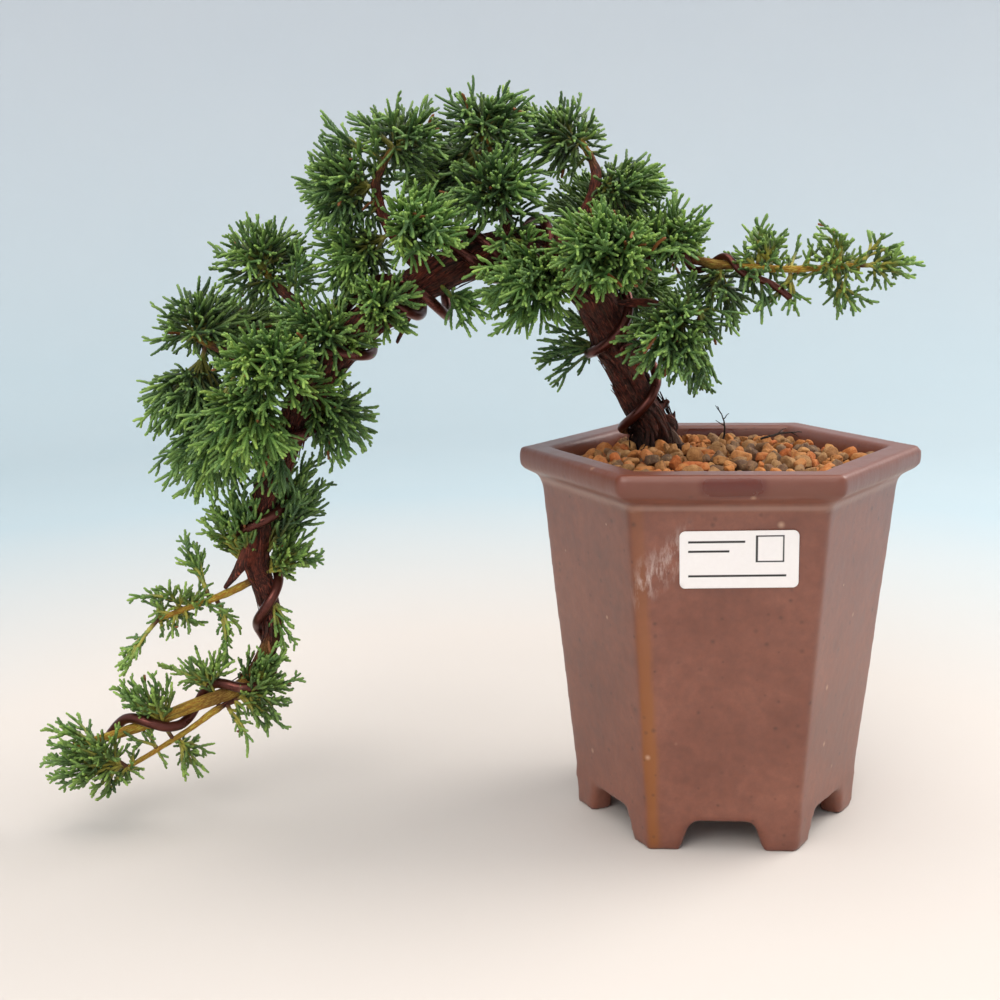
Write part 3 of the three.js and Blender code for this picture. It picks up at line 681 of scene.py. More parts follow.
def wire_finish(name, deep, fair, worn):
    """Anodised aluminium wire: satin, with the colour rubbed thin here and there."""
    material, tree, feed = new_finish(name, Specular_IOR_Level=0.6)
    place = tree.place()
    cloud = tree.mottled(place, 120.0, 2.0)
    draw = tree.cloud(place, 900.0, 3.0)
    colour = tree.blend(cloud, tint(deep), tint(fair))
    rubs = tree.speckled(place, 260.0, 0.12)
    feed("Base Color", tree.stained(colour, rubs, worn, 0.6))
    feed("Metallic", tree.span(cloud, 0.0, 1.0, 0.85, 0.7))
    both = tree.sum("ADD", cloud, draw)
    feed("Roughness", tree.span(both, 0.6, 1.4, 0.24, 0.38))
    feed("Normal", tree.bump(draw, 0.03 * MM, 0.5))
    return material


def bark_finish():
    """Stringy juniper bark: red-brown strips over grooves darkened with painted shade, nearly black
    towards the foot.
    """
    material, tree, feed = new_finish("juniper_bark", Specular_IOR_Level=0.35)
    place = tree.place()
    grain = tree.painted("grain", "Vector")
    fibre = tree.effect(FIBRE, {"Grain": grain, "Scale": 1.0})
    cloud = tree.mottled(place, 120.0, 2.4)
    colour = tree.bands(fibre["Relief"], [
        (0.0, "1a0b07"), (0.35, "54241a"), (0.7, "873d2b"), (1.0, "a8593f"),
    ])
    colour = tree.stained(colour, tree.span(cloud, 0.5, 1.0, 0.0, 0.75), "9a432a")
    silver = tree.times(fibre["Flakes"], tree.painted("age"))
    colour = tree.stained(colour, silver, "7b6557", 0.45)
    young = tree.painted("young")
    fresh = tree.bands(fibre["Relief"], [
        (0.0, "9c5f26"), (0.35, "c2a23c"), (1.0, "d2cb5c"),
    ])
    colour = tree.blend(young, colour, fresh)
    # Painted shade: the bark's grooves are darkened to near black.
    groove_shade = tree.painted("groove_shade")
    colour = tree.stained(colour, groove_shade, "0c0604", 0.9)
    # Darker still towards the foot of the stem.
    colour = tree.stained(colour, tree.painted("dark_foot"), "0f0a09")
    feed("Base Color", colour)
    feed("Roughness", tree.span(fibre["Relief"], 0.0, 1.0, 0.9, 0.6))
    feed("Normal", tree.bump(fibre["Relief"], 0.35 * MM, 0.8))
    return material


def dead_finish():
    """Dry twigs: dark, dull and fibrous."""
    material, tree, feed = new_finish("dead_wood", Specular_IOR_Level=0.3)
    place = tree.place()
    fibre = tree.effect(FIBRE, {"Grain": tree.scaled(place, (900.0, 900.0, 300.0)), "Scale": 1.0})
    colour = tree.blend(fibre["Relief"], tint("120c0a"), tint("3d2e28"))
    feed("Base Color", tree.stained(colour, fibre["Flakes"], "6b5a50", 0.3))
    feed("Roughness", tree.span(fibre["Relief"], 0.0, 1.0, 0.9, 0.7))
    feed("Normal", tree.bump(fibre["Relief"], 0.15 * MM, 0.8))
    return material


def foliage_finish():
    """Scale leaves: blue-green bodies, fresh yellow-green tips, and darker inside the pad from duller
    old growth and painted shade.
    """
    material, tree, feed = new_finish("juniper_scales", Specular_IOR_Level=0.4)
    place = tree.place()
    tone, scale = tree.painted("tone"), tree.painted("scale")
    cloud = tree.mottled(place, 60.0, 2.4)
    body = tree.bands(tone, [
        (0.0, "375233"), (0.3, "456437"), (0.6, "547b39"), (0.85, "6a8f3e"), (1.0, "869e44"),
    ])
    body = tree.stained(body, tree.span(cloud, 0.4, 1.0, 0.0, 0.4), "6d8f45")
    body = tree.stained(body, tree.span(scale, 0.35, 0.0, 0.0, 0.4), "86a677")
    body = tree.stained(body, tree.span(scale, 0.45, 1.0, 0.0, 0.4), "28441f")
    # Painted shade, with some real dullness of old growth: the cords are darkened towards the pad's
    # middle.
    inner = tree.span(tree.painted("depth"), 0.85, 0.2, 0.0, 0.9)
    body = tree.stained(body, inner, "15200d")
    tip = tree.blend(tone, tint("86aa52"), tint("a9c55a"))
    colour = tree.blend(tree.painted("tip"), body, tip)
    stem = tree.blend(cloud, tint("8d8a35"), tint("b7ad4c"))
    colour = tree.blend(tree.span(tree.painted("wood"), 0.0, 0.5), colour, stem)
    colour = tree.stained(colour, tree.span(tree.painted("wood"), 0.55, 1.0), "5b331c")
    colour = tree.stained(colour, tree.painted("dead"), "85512c")
    feed("Base Color", colour)
    feed("Roughness", tree.span(cloud, 0.0, 1.0, 0.42, 0.6))
    feed("Normal", tree.bump(tree.cloud(place, 2600.0, 2.0), 0.06 * MM, 0.4))
    return material


def studio_finish():
    """Seamless studio paper: warm white underfoot, pale blue further off and up the wall."""
    material, tree, feed = new_finish("studio_paper", Specular_IOR_Level=0.1, Roughness=0.9)
    place = tree.place()
    part = tree.node("ShaderNodeSeparateXYZ", {0: place}).outputs
    flat = tree.node("ShaderNodeCombineXYZ", {0: part[0], 1: part[1]}).outputs[0]
    away = tree.node("ShaderNodeVectorMath", {0: flat}, operation="LENGTH").outputs["Value"]
    way_out = tree.span(tree.sum("ADD", away, part[2]), 0.0, 1.6)
    fade = tree.bands(way_out, [
        (0.12, "ccc6c0"), (0.32, "b1c2c9"), (0.62, "b0bfc6"), (0.95, "b5bbc1"),
    ])
    grain = tree.cloud(place, 14.0, 3.0)
    feed("Base Color", tree.blend(tree.span(grain, 0.3, 0.7, 0.0, 0.03), fade, tint("d8d2cc")))
    return material


# ---------------------------------------------------------------- pot


def lift_of(points, edges, normals):
    """How far each point stands out from its neighbours."""
    return np.sum((points - neighbour_mean(points, edges)) * normals, axis=1, keepdims=True)


def true_walls(points):
    """Draws the outer skin onto flat tapering walls that meet in soft upright edges."""
    x, y, z = points[:, 0] - POT_AXIS.x, points[:, 1] - POT_AXIS.y, points[:, 2]
    turns = np.radians(30 + 60 * np.arange(6))
    facing = np.maximum(np.outer(x, np.cos(turns)) + np.outer(y, np.sin(turns)), 1e-9)
    reach = facing.max(axis=1)
    soft = reach * ((facing / reach[:, None]) ** EDGE_POWER).sum(axis=1) ** (1 / EDGE_POWER)
    ends = []
    for low, high in WALL_BANDS:
        band = np.flatnonzero((z > low) & (z < high) & (np.abs(x) < 12 * MM))
        furthest = band[np.argmax(reach[band])]
        ends.append((z[furthest], reach[furthest]))
    (low, low_reach), (high, high_reach) = ends
    wall = low_reach + (high_reach - low_reach) * (z - low) / (high - low)
    share = smooth_step(1.4 * MM, 0.8 * MM, np.abs(soft - wall))
    share = share * smooth_step(FEET_TOP, FEET_TOP + 2.5 * MM, z)
    share = share * smooth_step(LIP_UNDERSIDE, LIP_UNDERSIDE - 2 * MM, z)
    scale = 1 + share * (wall / soft - 1)
    return np.column_stack([POT_AXIS.x + x * scale, POT_AXIS.y + y * scale, z]), share


def pot_paint(points, normals, edge):
    """Where each effect of the glaze, and a painted highlight below the lip, shows on the pot's skin."""
    x, y, z = points[:, 0] - POT_AXIS.x, points[:, 1] - POT_AXIS.y, points[:, 2]
    angle, radius = np.degrees(np.arctan2(y, x)) % 360, np.hypot(x, y)
    wander = ripple(points, 14 * MM, 5.0)
    below_lip = z < LIP_UNDERSIDE + 0.5 * MM
    corner = np.radians(OCHRE_EDGE)
    gap = np.abs(y * np.cos(corner) - (x - 1.2 * MM) * np.sin(corner)) + 0.8 * MM * wander
    streak = smooth_step(2.6 * MM, 0.9 * MM, gap) * (np.abs(angle - OCHRE_EDGE) < 25)
    streak = streak * (radius > 30 * MM) * below_lip
    across = np.abs(x - GLOSS_PLACE[0]) / GLOSS_HALF[0]
    upright = np.abs(z - GLOSS_PLACE[1]) / GLOSS_HALF[1]
    patch = (across**4 + upright**4) ** 0.25 + 0.12 * wander
    scuff_x, scuff_z = x - SCUFF_PLACE[0], z - SCUFF_PLACE[1]
    scuff = np.clip(1.2 - np.abs(scuff_z - 0.9 * scuff_x) / (7 * MM), 0, 1)
    scuff = scuff * smooth_step(9 * MM, 4 * MM, np.abs(scuff_x)) * (y < -30 * MM) * below_lip
    # A pale line just below the lip, painted as a highlight in place of a ridge.
    ridge_highlight_gap = np.abs(z - (LIP_UNDERSIDE - 0.1 * MM)) + 0.3 * MM * np.abs(wander)
    return {
        "edge": np.clip(edge * 6, 0, 1),
        "ochre": np.clip(streak * (0.35 + 0.65 * smooth_step(100 * MM, 30 * MM, z)), 0, 1),
        "gloss": smooth_step(1.12, 0.84, patch) * smooth_step(-0.5, -0.8, normals[:, 1]),
        "scuff": scuff,
        "mauve": 0.75 * smooth_step(POT_TOP - 6.6 * MM, POT_TOP - 5.2 * MM, z),
        "ridge_highlight": smooth_step(1.1 * MM, 0.4 * MM, ridge_highlight_gap) * (radius > 44 * MM),
    }


def make_pot():
    """The pot's skin: slab joints eased, walls drawn true, and a little waver from the hand."""
    points, faces = node_net("pot", POT_NET)
    edges = edges_of(faces)
    points, on_wall = true_walls(relax(points, edges, POT_SOFTENING))
    normals = normals_of(points, faces)
    bend = relax(lift_of(points, edges, normals), edges, 14) / POT_NET
    regain = 0.25 * MM + POT_REGAIN * np.clip(bend * 7, 0, 1.4)
    points += normals * regain * (1 - on_wall[:, None])
    calm = 0.5 * (1 - np.clip(np.abs(bend) * 9, 0, 1))
    points = relax(points, edges, 8, calm)
    points += normals * (POT_WAVER * ripple(points, 24 * MM, 3.1))[:, None]
    points += normals * (0.03 * MM * ripple(points, 3.5 * MM, 8.4))[:, None]
    points[:, 2] = np.clip(points[:, 2], POT_LOW.z, POT_TOP)
    edge = neighbour_mean(relax(lift_of(points, edges, normals), edges, 2), edges) / POT_NET
    values = pot_paint(points, normals, edge[:, 0])
    make_piece("stoneware_pot", points, [faces], stoneware_finish(), ["pot"], values)


# ---------------------------------------------------------------- label


def make_label():
    """A paper label, gently lifted at one end, with plain rules and an empty box."""
    corners = np.array([v.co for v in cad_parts["label"].data.vertices])
    middle = corners.mean(axis=0)
    _, _, axes = np.linalg.svd(corners - middle, full_matrices=False)
    right = axes[0] * np.sign(axes[0][0])
    up = axes[1] * np.sign(axes[1][2])
    out = np.cross(right, up)
    half_width = np.abs((corners - middle) @ right).max()
    half_height = np.abs((corners - middle) @ up).max()
    columns, rows = 160, 80
    u, v = np.meshgrid(np.linspace(-1, 1, columns), np.linspace(-1, 1, rows))
    inner = np.array([half_width - LABEL_CORNER, half_height - LABEL_CORNER])
    flat = np.stack([u * half_width, v * half_height], axis=-1)
    beyond = np.maximum(np.abs(flat) - inner, 0)
    reach = np.linalg.norm(beyond, axis=-1, keepdims=True)
    pull = np.where(reach > LABEL_CORNER, LABEL_CORNER / np.maximum(reach, 1e-9), 1.0)
    flat = np.sign(flat) * (np.minimum(np.abs(flat), inner) + beyond * pull)
    curl = 0.25 * MM * smooth_step(0.82, 1.0, -u) * smooth_step(-0.2, -1.0, v)
    front = middle + flat[..., :1] * right + flat[..., 1:] * up
    top = front + (0.1 * MM + curl)[..., None] * out
    bottom = front - (0.12 * MM - curl)[..., None] * out
    points = np.concatenate([top.reshape(-1, 3), bottom.reshape(-1, 3)])
    total = rows * columns
    index = np.arange(total).reshape(rows, columns)
    squares = [index[:-1, :-1], index[:-1, 1:], index[1:, 1:], index[1:, :-1]]
    sheet = np.stack(squares, axis=-1).reshape(-1, 4)
    rim = np.concatenate([index[0, :-1], index[:-1, -1], index[-1, :0:-1], index[:0:-1, 0]])
    rim_next = np.roll(rim, -1)
    side = np.stack([rim, rim + total, rim_next + total, rim_next], axis=-1)
    faces = np.concatenate([sheet, sheet[:, ::-1] + total, side])
    a, b = flat[..., 0] / MM, flat[..., 1] / MM
    ruled = np.zeros_like(a)
    for left, right_end, height, weight in LABEL_RULES:
        ruled = np.maximum(ruled, (a > left) & (a < right_end) & (np.abs(b - height) < weight))
    box_x, box_y, box_inner, box_outer = LABEL_BOX
    box = np.maximum(np.abs(a - box_x), np.abs(b - box_y))
    ruled = np.maximum(ruled, (box > box_inner) & (box < box_outer))
    rubbed = smooth_step(0.9, 1.0, -u) * smooth_step(-0.7, -1.0, v)
    back = np.zeros(total)
    values = {
        "ruled": np.concatenate([ruled.ravel(), back]),
        "rubbed": np.concatenate([rubbed.ravel(), back]),
    }
    make_piece("paper_label", points, [faces], paper_finish(), ["label"], values)


# ---------------------------------------------------------------- wood


def wood_values(line, radii, marks, points):
    """For points near a line of wood: how far along, the angle round it, the reach, its radius."""
    along, across, up = (part[0] for part in frames_along(line[None]))
    finder = KDTree(len(line))
    for index, place in enumerate(line):
        finder.insert(place, index)
    finder.balance()
    nearest = np.array([finder.find(point)[1] for point in points])
    offset = points - line[nearest]
    a = np.sum(offset * across[nearest], axis=1)
    b = np.sum(offset * up[nearest], axis=1)
    rise = np.sum(offset * along[nearest], axis=1)
    return marks[nearest] + rise, np.arctan2(b, a), np.hypot(a, b), radii[nearest]


def bark_relief(distance, angle, girth, seed):
    """Ridges that run along the wood, broken into strips, from -1 to 1."""
    wide = girth / (1.5 * MM)
    twisted = angle + distance / BARK_TWIST
    around = np.column_stack([np.cos(twisted) * wide, np.sin(twisted) * wide])
    coarse = np.column_stack([around * 0.8, distance / (9 * MM)])
    fine = np.column_stack([around * 2.1, distance / (4.5 * MM)])
    ridges = 1 - 2 * np.abs(ripple(coarse, 1.0, seed)) * 1.6
    strands = ripple(fine, 1.0, seed + 4)
    return np.clip(0.62 * ridges + 0.45 * strands, -1, 1)


def grain_of(distance, angle, girth):
    """Coordinates for the bark's fine fibres: unit lumps are narrow across and long along."""
    twisted = angle + distance / BARK_TWIST
    wide = np.maximum(girth, 1 * MM) / (0.45 * MM)
    return np.column_stack([np.cos(twisted) * wide, np.sin(twisted) * wide, distance / (3.2 * MM)])


def bark_values(grain, groove_shade, age, young=0.0, dark_foot=0.0):
    """The painted values that the bark finish reads: one number each, or one for every point."""
    columns = {"groove_shade": groove_shade, "age": age, "young": young, "dark_foot": dark_foot}
    values = {key: np.broadcast_to(column, len(grain)) for key, column in columns.items()}
    return {"grain": grain, **values}


def capped(ring_values, first, last):
    """Values for the rings of one swept tube, then those of its two end points."""
    return np.concatenate([np.ravel(ring_values), [first, last]])


def make_trunk(line, radii, marks, material):
    """The stem with its root flare and dead stubs: ridged bark, black at the foot, green at the tip."""
    points, faces = node_net("trunk", BARK_NET)
    edges = edges_of(faces)
    points = relax(points, edges, 5)
    normals = normals_of(points, faces)
    distance, angle, reach, girth = wood_values(line, radii, marks, points)
    old = smooth_step(330 * MM, 60 * MM, distance)
    size = np.clip(girth / (6 * MM), 0.3, 1.1)
    relief = bark_relief(distance, angle, girth, 2.0)
    lump = ripple(points, 7 * MM, 6.0)
    depth = (BARK_RIDGE * (0.45 + 0.55 * old) * relief + BARK_LUMP * old * lump) * size
    soil = SOIL_HIGH.z - 4 * MM
    sunk = 1.1 * MM * smooth_step(soil + 10 * MM, soil + 3 * MM, points[:, 2])
    sunk = sunk * (distance < 40 * MM)
    points = points + normals * (depth - 0.1 * MM - sunk)[:, None]
    # The bark is painted darker towards the soil, near black at the foot of the stem.
    dark_foot = smooth_step(soil + 17 * MM, soil + 5 * MM, points[:, 2] + 5 * MM * lump)
    stub = smooth_step(1.25, 1.7, reach / girth)
    values = bark_values(
        grain_of(distance, angle, girth),
        # The grooves get painted shade.
        groove_shade=smooth_step(-0.1, -0.75, relief) * (0.5 + 0.5 * old),
        age=np.clip(0.35 * old + 0.6 * stub + 0.3 * lump, 0, 1),
        young=smooth_step(GREEN_STEM[0], GREEN_STEM[1], distance + 16 * MM * lump),
        dark_foot=0.8 * dark_foot * (distance < STEM_FOOT),
    )
    make_piece("juniper_trunk", points, [faces], material, ["trunk"], values)


def make_limb(node, material, stem_line):
    """A round limb on the node's own middle line, rooted a little way into the stem."""
    line, radii = centreline(node, 0.45 * MM, 1.4 * MM)
    root_gap = np.linalg.norm(stem_line - line[0], axis=1).min()
    tip_gap = np.linalg.norm(stem_line - line[-1], axis=1).min()
    if tip_gap < root_gap:
        line, radii = line[::-1], radii[::-1]
    start = line[0] - unit(line[1] - line[0]) * LIMB_ROOT
    line, radii = np.vstack([start, line]), np.concatenate([[radii[0] * 1.12], radii])
    line, radii, marks = resample(line, radii, 0.45 * MM)
    sides = 28
    ring_mark = np.repeat(marks, sides)
    ring_angle = np.tile(2 * np.pi * np.arange(sides) / sides, len(marks))
    ring_girth = np.repeat(radii, sides)
    seed = 3.0 + LIMB_NODES.index(node)
    relief = bark_relief(ring_mark, ring_angle, ring_girth, seed).reshape(len(marks), sides)
    first_green, all_green = GREEN_LIMBS.get(node, BROWN_LIMB)
    fresh = smooth_step(first_green, all_green, marks / marks[-1])
    depth = (0.3 - 0.2 * fresh)[:, None] * MM * relief
    knots = 1 + 0.05 * np.sin(marks / (1.9 * MM) + seed) + 0.04 * np.sin(marks / (0.7 * MM))
    skin = np.maximum((radii * knots)[:, None] + depth, THINNEST_LIMB)
    skin[-1] *= 0.6
    points, quads, tris = sweep(line[None], skin[None], 0.5)
    distance = capped(ring_mark, 0.0, marks[-1])
    girth = capped(ring_girth, radii[0], radii[-1])
    fresh_skin = capped(np.repeat(fresh, sides), 0, 1)
    blotch = ripple(points, 3.5 * MM, seed)
    values = bark_values(
        grain_of(distance, capped(ring_angle, 0.0, 0.0), girth),
        # The grooves get painted shade.
        groove_shade=0.5 * smooth_step(-0.2, -0.8, capped(relief, 0, 0)),
        age=0.2,
        young=np.clip(fresh_skin * 1.2 + 0.5 * blotch * (fresh_skin > 0.1), 0, 1),
    )
    make_piece(f"juniper_{node}", points, [quads, tris], material, [node], values)
    return line


def make_peelings(line, radii, marks, material):
    """Narrow strips of bark that have come loose at their ends."""
    draw = np.random.default_rng(41)
    along, across, up = (part[0] for part in frames_along(line[None]))
    points, quads, grain, age, dark_foot = [], [], [], [], []
    stations = 9
    corners = ((-1, -1), (1, -1), (1, 1), (-1, 1))
    for strip in range(PEEL_COUNT):
        reach, most_lift = PEELS_ALL_ALONG if strip % 3 else PEELS_AT_FOOT
        place = draw.uniform(4, reach) * MM
        length = draw.uniform(5, 15) * MM
        width = draw.uniform(0.25, 0.65) * MM
        thick = draw.uniform(0.07, 0.14) * MM
        angle = draw.uniform(0, 2 * math.pi)
        lift = draw.uniform(0.3, most_lift) * MM * draw.random() ** 1.3
        drift = draw.normal(0, 0.12)
        for k in range(stations):
            share = k / (stations - 1)
            index = min(np.searchsorted(marks, place + length * share), len(line) - 1)
            turn = angle + drift * share - length * share / BARK_TWIST
            spoke = math.cos(turn) * across[index] + math.sin(turn) * up[index]
            cross = np.cross(along[index], spoke)
            raised = lift * max(0.0, share - 0.45) ** 1.5 * 2.2 + 0.12 * MM
            middle = line[index] + spoke * (radii[index] + raised)
            narrow = width * (0.25 + 0.75 * math.sin(math.pi * min(0.95, 0.12 + share * 0.8)))
            points += [middle + cross * (a * narrow) + spoke * (b * thick) for a, b in corners]
            run = share * length / (3 * MM)
            grain += [(strip * 3.1 + max(a, 0), draw.random() * 0.2, run) for a, _ in corners]
        age += [0.3 if strip % 3 else 0.8] * 4 * stations
        dark_foot += [0.75 * smooth_step(26 * MM, 12 * MM, place)] * 4 * stations
        first = 4 * strip * stations
        last = first + 4 * (stations - 1)
        for low in range(first, last, 4):
            quads += [[low + j, low + (j + 1) % 4, low + 4 + (j + 1) % 4, low + 4 + j] for j in range(4)]
        quads += [[first + 3, first + 2, first + 1, first], [last, last + 1, last + 2, last + 3]]
    values = bark_values(np.array(grain), groove_shade=0.0, age=age, dark_foot=dark_foot)
    make_piece("bark_peelings", np.array(points), [np.array(quads)], material, values=values)


def make_flap(foot, material):
    """A broad grey flake of old bark that leans on the foot of the stem."""
    steps, sides, length = 40, 28, 10 * MM
    share = np.linspace(0, 1, steps)
    top, base = (foot + np.array(place) * MM for place in FLAP_ENDS)
    line = top + (base - top) * share[:, None]
    line += np.outer(np.sin(share * math.pi), [0.9 * MM, -0.3 * MM, 0.0])
    angle = 2 * np.pi * np.arange(sides) / sides
    broad = (0.7 + 1.3 * smooth_step(0.0, 0.7, share))[:, None] * MM
    thin = 0.55 * MM
    skin = broad * thin / np.hypot(broad * np.cos(angle), thin * np.sin(angle))
    marks, turned = np.repeat(share * length, sides), np.tile(angle, steps)
    relief = bark_relief(marks, turned, np.full(len(marks), 2 * MM), 11.0).reshape(steps, sides)
    points, quads, tris = sweep(line[None], (skin + 0.22 * MM * relief)[None], 0.3)
    marks, turned = capped(marks, 0.0, length), capped(turned, 0.0, angle[-1])
    values = bark_values(
        grain_of(marks, turned, np.full(len(marks), 2 * MM)),
        groove_shade=0.6 * smooth_step(-0.2, -0.8, capped(relief, 0, 0)), age=2.2, dark_foot=0.15,
    )
    make_piece("bark_flap", points, [quads, tris], material, values=values)


def make_wire(node, material, gauge):
    """Round drawn wire on the node's own middle line, with sawn ends."""
    line, _ = centreline(node, 0.4 * MM, 1.0 * MM)
    line, radii, marks = resample(line, np.full(len(line), gauge / 2), 0.5 * MM)
    from_end = np.minimum(marks, marks[-1] - marks)
    ends = np.sqrt(np.clip(1 - (1 - np.clip(from_end / (0.35 * MM), 0, 1)) ** 2, 0.55, 1))
    skin = np.repeat((radii * ends)[:, None], 20, axis=1)
    points, quads, tris = sweep(line[None], skin[None], 0.05)
    points += (0.04 * MM * ripple(points, 4 * MM, 2.0))[:, None] * normals_of(points, quads)
    make_piece(f"training_{node}", points, [quads, tris], material, [node])


# ---------------------------------------------------------------- gravel


def inside_bed(x, y, corner, margin):
    """True where a point is inside the pot's mouth, which has its corners on the X axis."""
    a = np.abs(x - POT_AXIS.x)
    b = np.abs(y - POT_AXIS.y)
    flat = corner * TO_FLAT
    slanted = (a * math.sin(math.pi / 3) + b * math.cos(math.pi / 3)) < flat - margin
    return slanted & (b < flat - margin)


def pour_grains(draw, stem_foot, stem_radius):
    """Grains dropped one by one, each rolling to the lowest of a few places."""
    corner = (SOIL_HIGH.x - SOIL_LOW.x) / 2
    edge = POT_TOP - 3.0 * MM
    floor = edge - GRAIN_LAYERS
    places = np.zeros((0, 3))
    sizes = np.zeros(0)
    for _ in range(GRAIN_DROPS):
        radius = GRAIN_SMALL + (GRAIN_LARGE - GRAIN_SMALL) * draw.random() ** 1.5
        tries = draw.uniform(-1, 1, (GRAIN_TRIES, 2)) * corner + [POT_AXIS.x, POT_AXIS.y]
        tries = tries[inside_bed(tries[:, 0], tries[:, 1], corner, radius * 0.8)]
        clear = np.hypot(tries[:, 0] - stem_foot[0], tries[:, 1] - stem_foot[1])
        tries = tries[clear > stem_radius + radius * 0.5]
        if not len(tries):
            continue
        heights = np.full(len(tries), floor)
        if len(places):
            gap = np.linalg.norm(tries[:, None] - places[None, :, :2], axis=2)
            touch = (sizes + radius) * 0.86
            rise = np.sqrt(np.maximum(touch**2 - gap**2, 0))
            rest = np.where(gap < touch, places[None, :, 2] + rise, floor)
            heights = np.maximum(heights, rest.max(axis=1))
        best = int(np.argmin(heights))
        x, y = tries[best]
        centre_pull = 1 - np.hypot(x - POT_AXIS.x, y - POT_AXIS.y) / corner
        if heights[best] + radius * 0.6 > edge + 3.2 * MM * centre_pull + 0.4 * MM:
            continue
        places = np.vstack([places, [x, y, heights[best]]])
        sizes = np.append(sizes, radius)
    return places, sizes


def make_gravel(material, stem_foot, stem_radius):
    """The poured grains, each with a form of its own, in three clays."""
    draw = np.random.default_rng(7)
    places, sizes = pour_grains(draw, stem_foot, stem_radius)
    ball = bmesh.new()
    bmesh.ops.create_icosphere(ball, subdivisions=3, radius=1.0)
    shape = np.array([v.co for v in ball.verts])
    faces = np.array([[v.index for v in f.verts] for f in ball.faces])
    ball.free()
    batches = {"orange": [], "tan": [], "umber": []}
    for grain, (place, radius) in enumerate(zip(places, sizes)):
        tone = draw.random()
        kind = "umber" if tone < 0.22 else "tan" if tone < 0.6 else "orange"
        turn = np.array(Matrix.Rotation(draw.uniform(0, 6.28), 3, Vector(draw.normal(size=3))))
        stretch = np.array([draw.uniform(low, high) for low, high in GRAIN_STRETCH])
        form = shape * (1 + 0.16 * ripple(shape, 0.8, grain * 1.3))[:, None]
        for _ in range(11):
            flat = unit(draw.normal(size=3))
            over = np.maximum(form @ flat - draw.uniform(0.55, 0.86), 0)
            form = form - 0.95 * over[:, None] * flat
        form = form * (1 + 0.06 * ripple(shape, 0.24, grain * 0.7))[:, None]
        body = place + (form * stretch * radius) @ turn.T
        batches[kind].append((body, tone))
    for kind, grains in batches.items():
        points = np.concatenate([body for body, _ in grains])
        tone = np.repeat([tone for _, tone in grains], len(shape))
        all_faces = np.concatenate([faces + len(shape) * i for i in range(len(grains))])
        # Painted shade: the lower a grain sits in the bed, the darker it is painted.
        depth = smooth_step(POT_TOP - 3.0 * MM, POT_TOP - 8.5 * MM, points[:, 2]) * 0.9
        values = {"tone": tone, "depth": depth}
        make_piece(f"gravel_{kind}", points, [all_faces], material, ["soil_bed"], values)


def make_packed_soil(material):
    """The fine soil under the loose grains, a little below the node's top."""
    points, faces = node_net("soil_bed", 1.6 * MM)
    edges = edges_of(faces)
    points = relax(points, edges, 2)
    top = smooth_step(POT_TOP - 14 * MM, POT_TOP - 6 * MM, points[:, 2])
    points[:, 2] -= 5.5 * MM * top
    points += normals_of(points, faces) * (0.5 * MM * ripple(points, 4 * MM, 9.0))[:, None]
    # The soil shows only in the gaps between grains, so it gets the same painted shade.
    values = {"tone": np.full(len(points), 0.1), "depth": np.full(len(points), 0.75)}
    make_piece("packed_soil", points, [faces], material, ["soil_bed"], values)


# ---------------------------------------------------------------- twigs that lie in the gravel


def branching_twig(name, node, material, offshoots, seed):
    """A dry twig along the node, with thin offshoots of [place, length, turn]."""
    line, radii = centreline(node, 0.2 * MM, 0.8 * MM)
    line, radii, _ = resample(line, radii, 0.3 * MM)
    kinks = np.column_stack([ripple(line, 1.6 * MM, seed + i) for i in range(3)])
    line = line + kinks * 0.22 * MM
    parts = [(line, np.maximum(radii * np.linspace(0.75, 0.35, len(radii)), 0.14 * MM))]
    heading = unit(line[-1] - line[0])
    side = unit(np.cross(heading, [0.0, 1.0, 0.15]))
    for share, length, turn in offshoots:
        start = line[int(share * (len(line) - 1))]
        way = unit(heading * math.cos(turn) + side * math.sin(turn))
        steps = np.linspace(0, 1, 14)[:, None]
        straight = start + way * (steps * length * MM)
        sway = ripple(straight, 1.4 * MM, seed + 5)[:, None]
        path = straight + side * (steps * steps * sway * 0.5 * MM)
        path = path + 0.15 * MM * np.column_stack([ripple(path, 1.1 * MM, seed + i) for i in range(3)])
        parts.append((path, np.linspace(0.2, 0.09, len(path)) * MM))
    points, quads, tris, total = [], [], [], 0
    for path, girth in parts:
        skin = np.repeat(girth[:, None], 8, axis=1) * (1 + 0.12 * np.sin(np.arange(8) * 2.4))
        body, four, three = sweep(path[None], skin[None], 0.6)
        points.append(body)
        quads.append(four + total)
        tris.append(three + total)
        total += len(body)
    faces = [np.concatenate(quads), np.concatenate(tris)]
    make_piece(name, np.concatenate(points), faces, material, [node])


# ---------------------------------------------------------------- foliage


class Spray:
    """Leafy cords that share one root. A cord is start + length * (t * heading + t * t * bend)."""

    def __init__(self, draw):
        self.draw = draw
        self.rows = []

    def add(self, start, heading, bend, length, girth, tone, tip, wood, dead):
        self.rows.append((*start, *heading, *bend, length, girth, tone, tip, wood, dead))
        return start, heading, bend, length

    @staticmethod
    def on(cord, t):
        start, heading, bend, length = cord
        place = start + (heading * t + bend * (t * t)) * length
        return place, (heading + bend * (2 * t)).normalized()


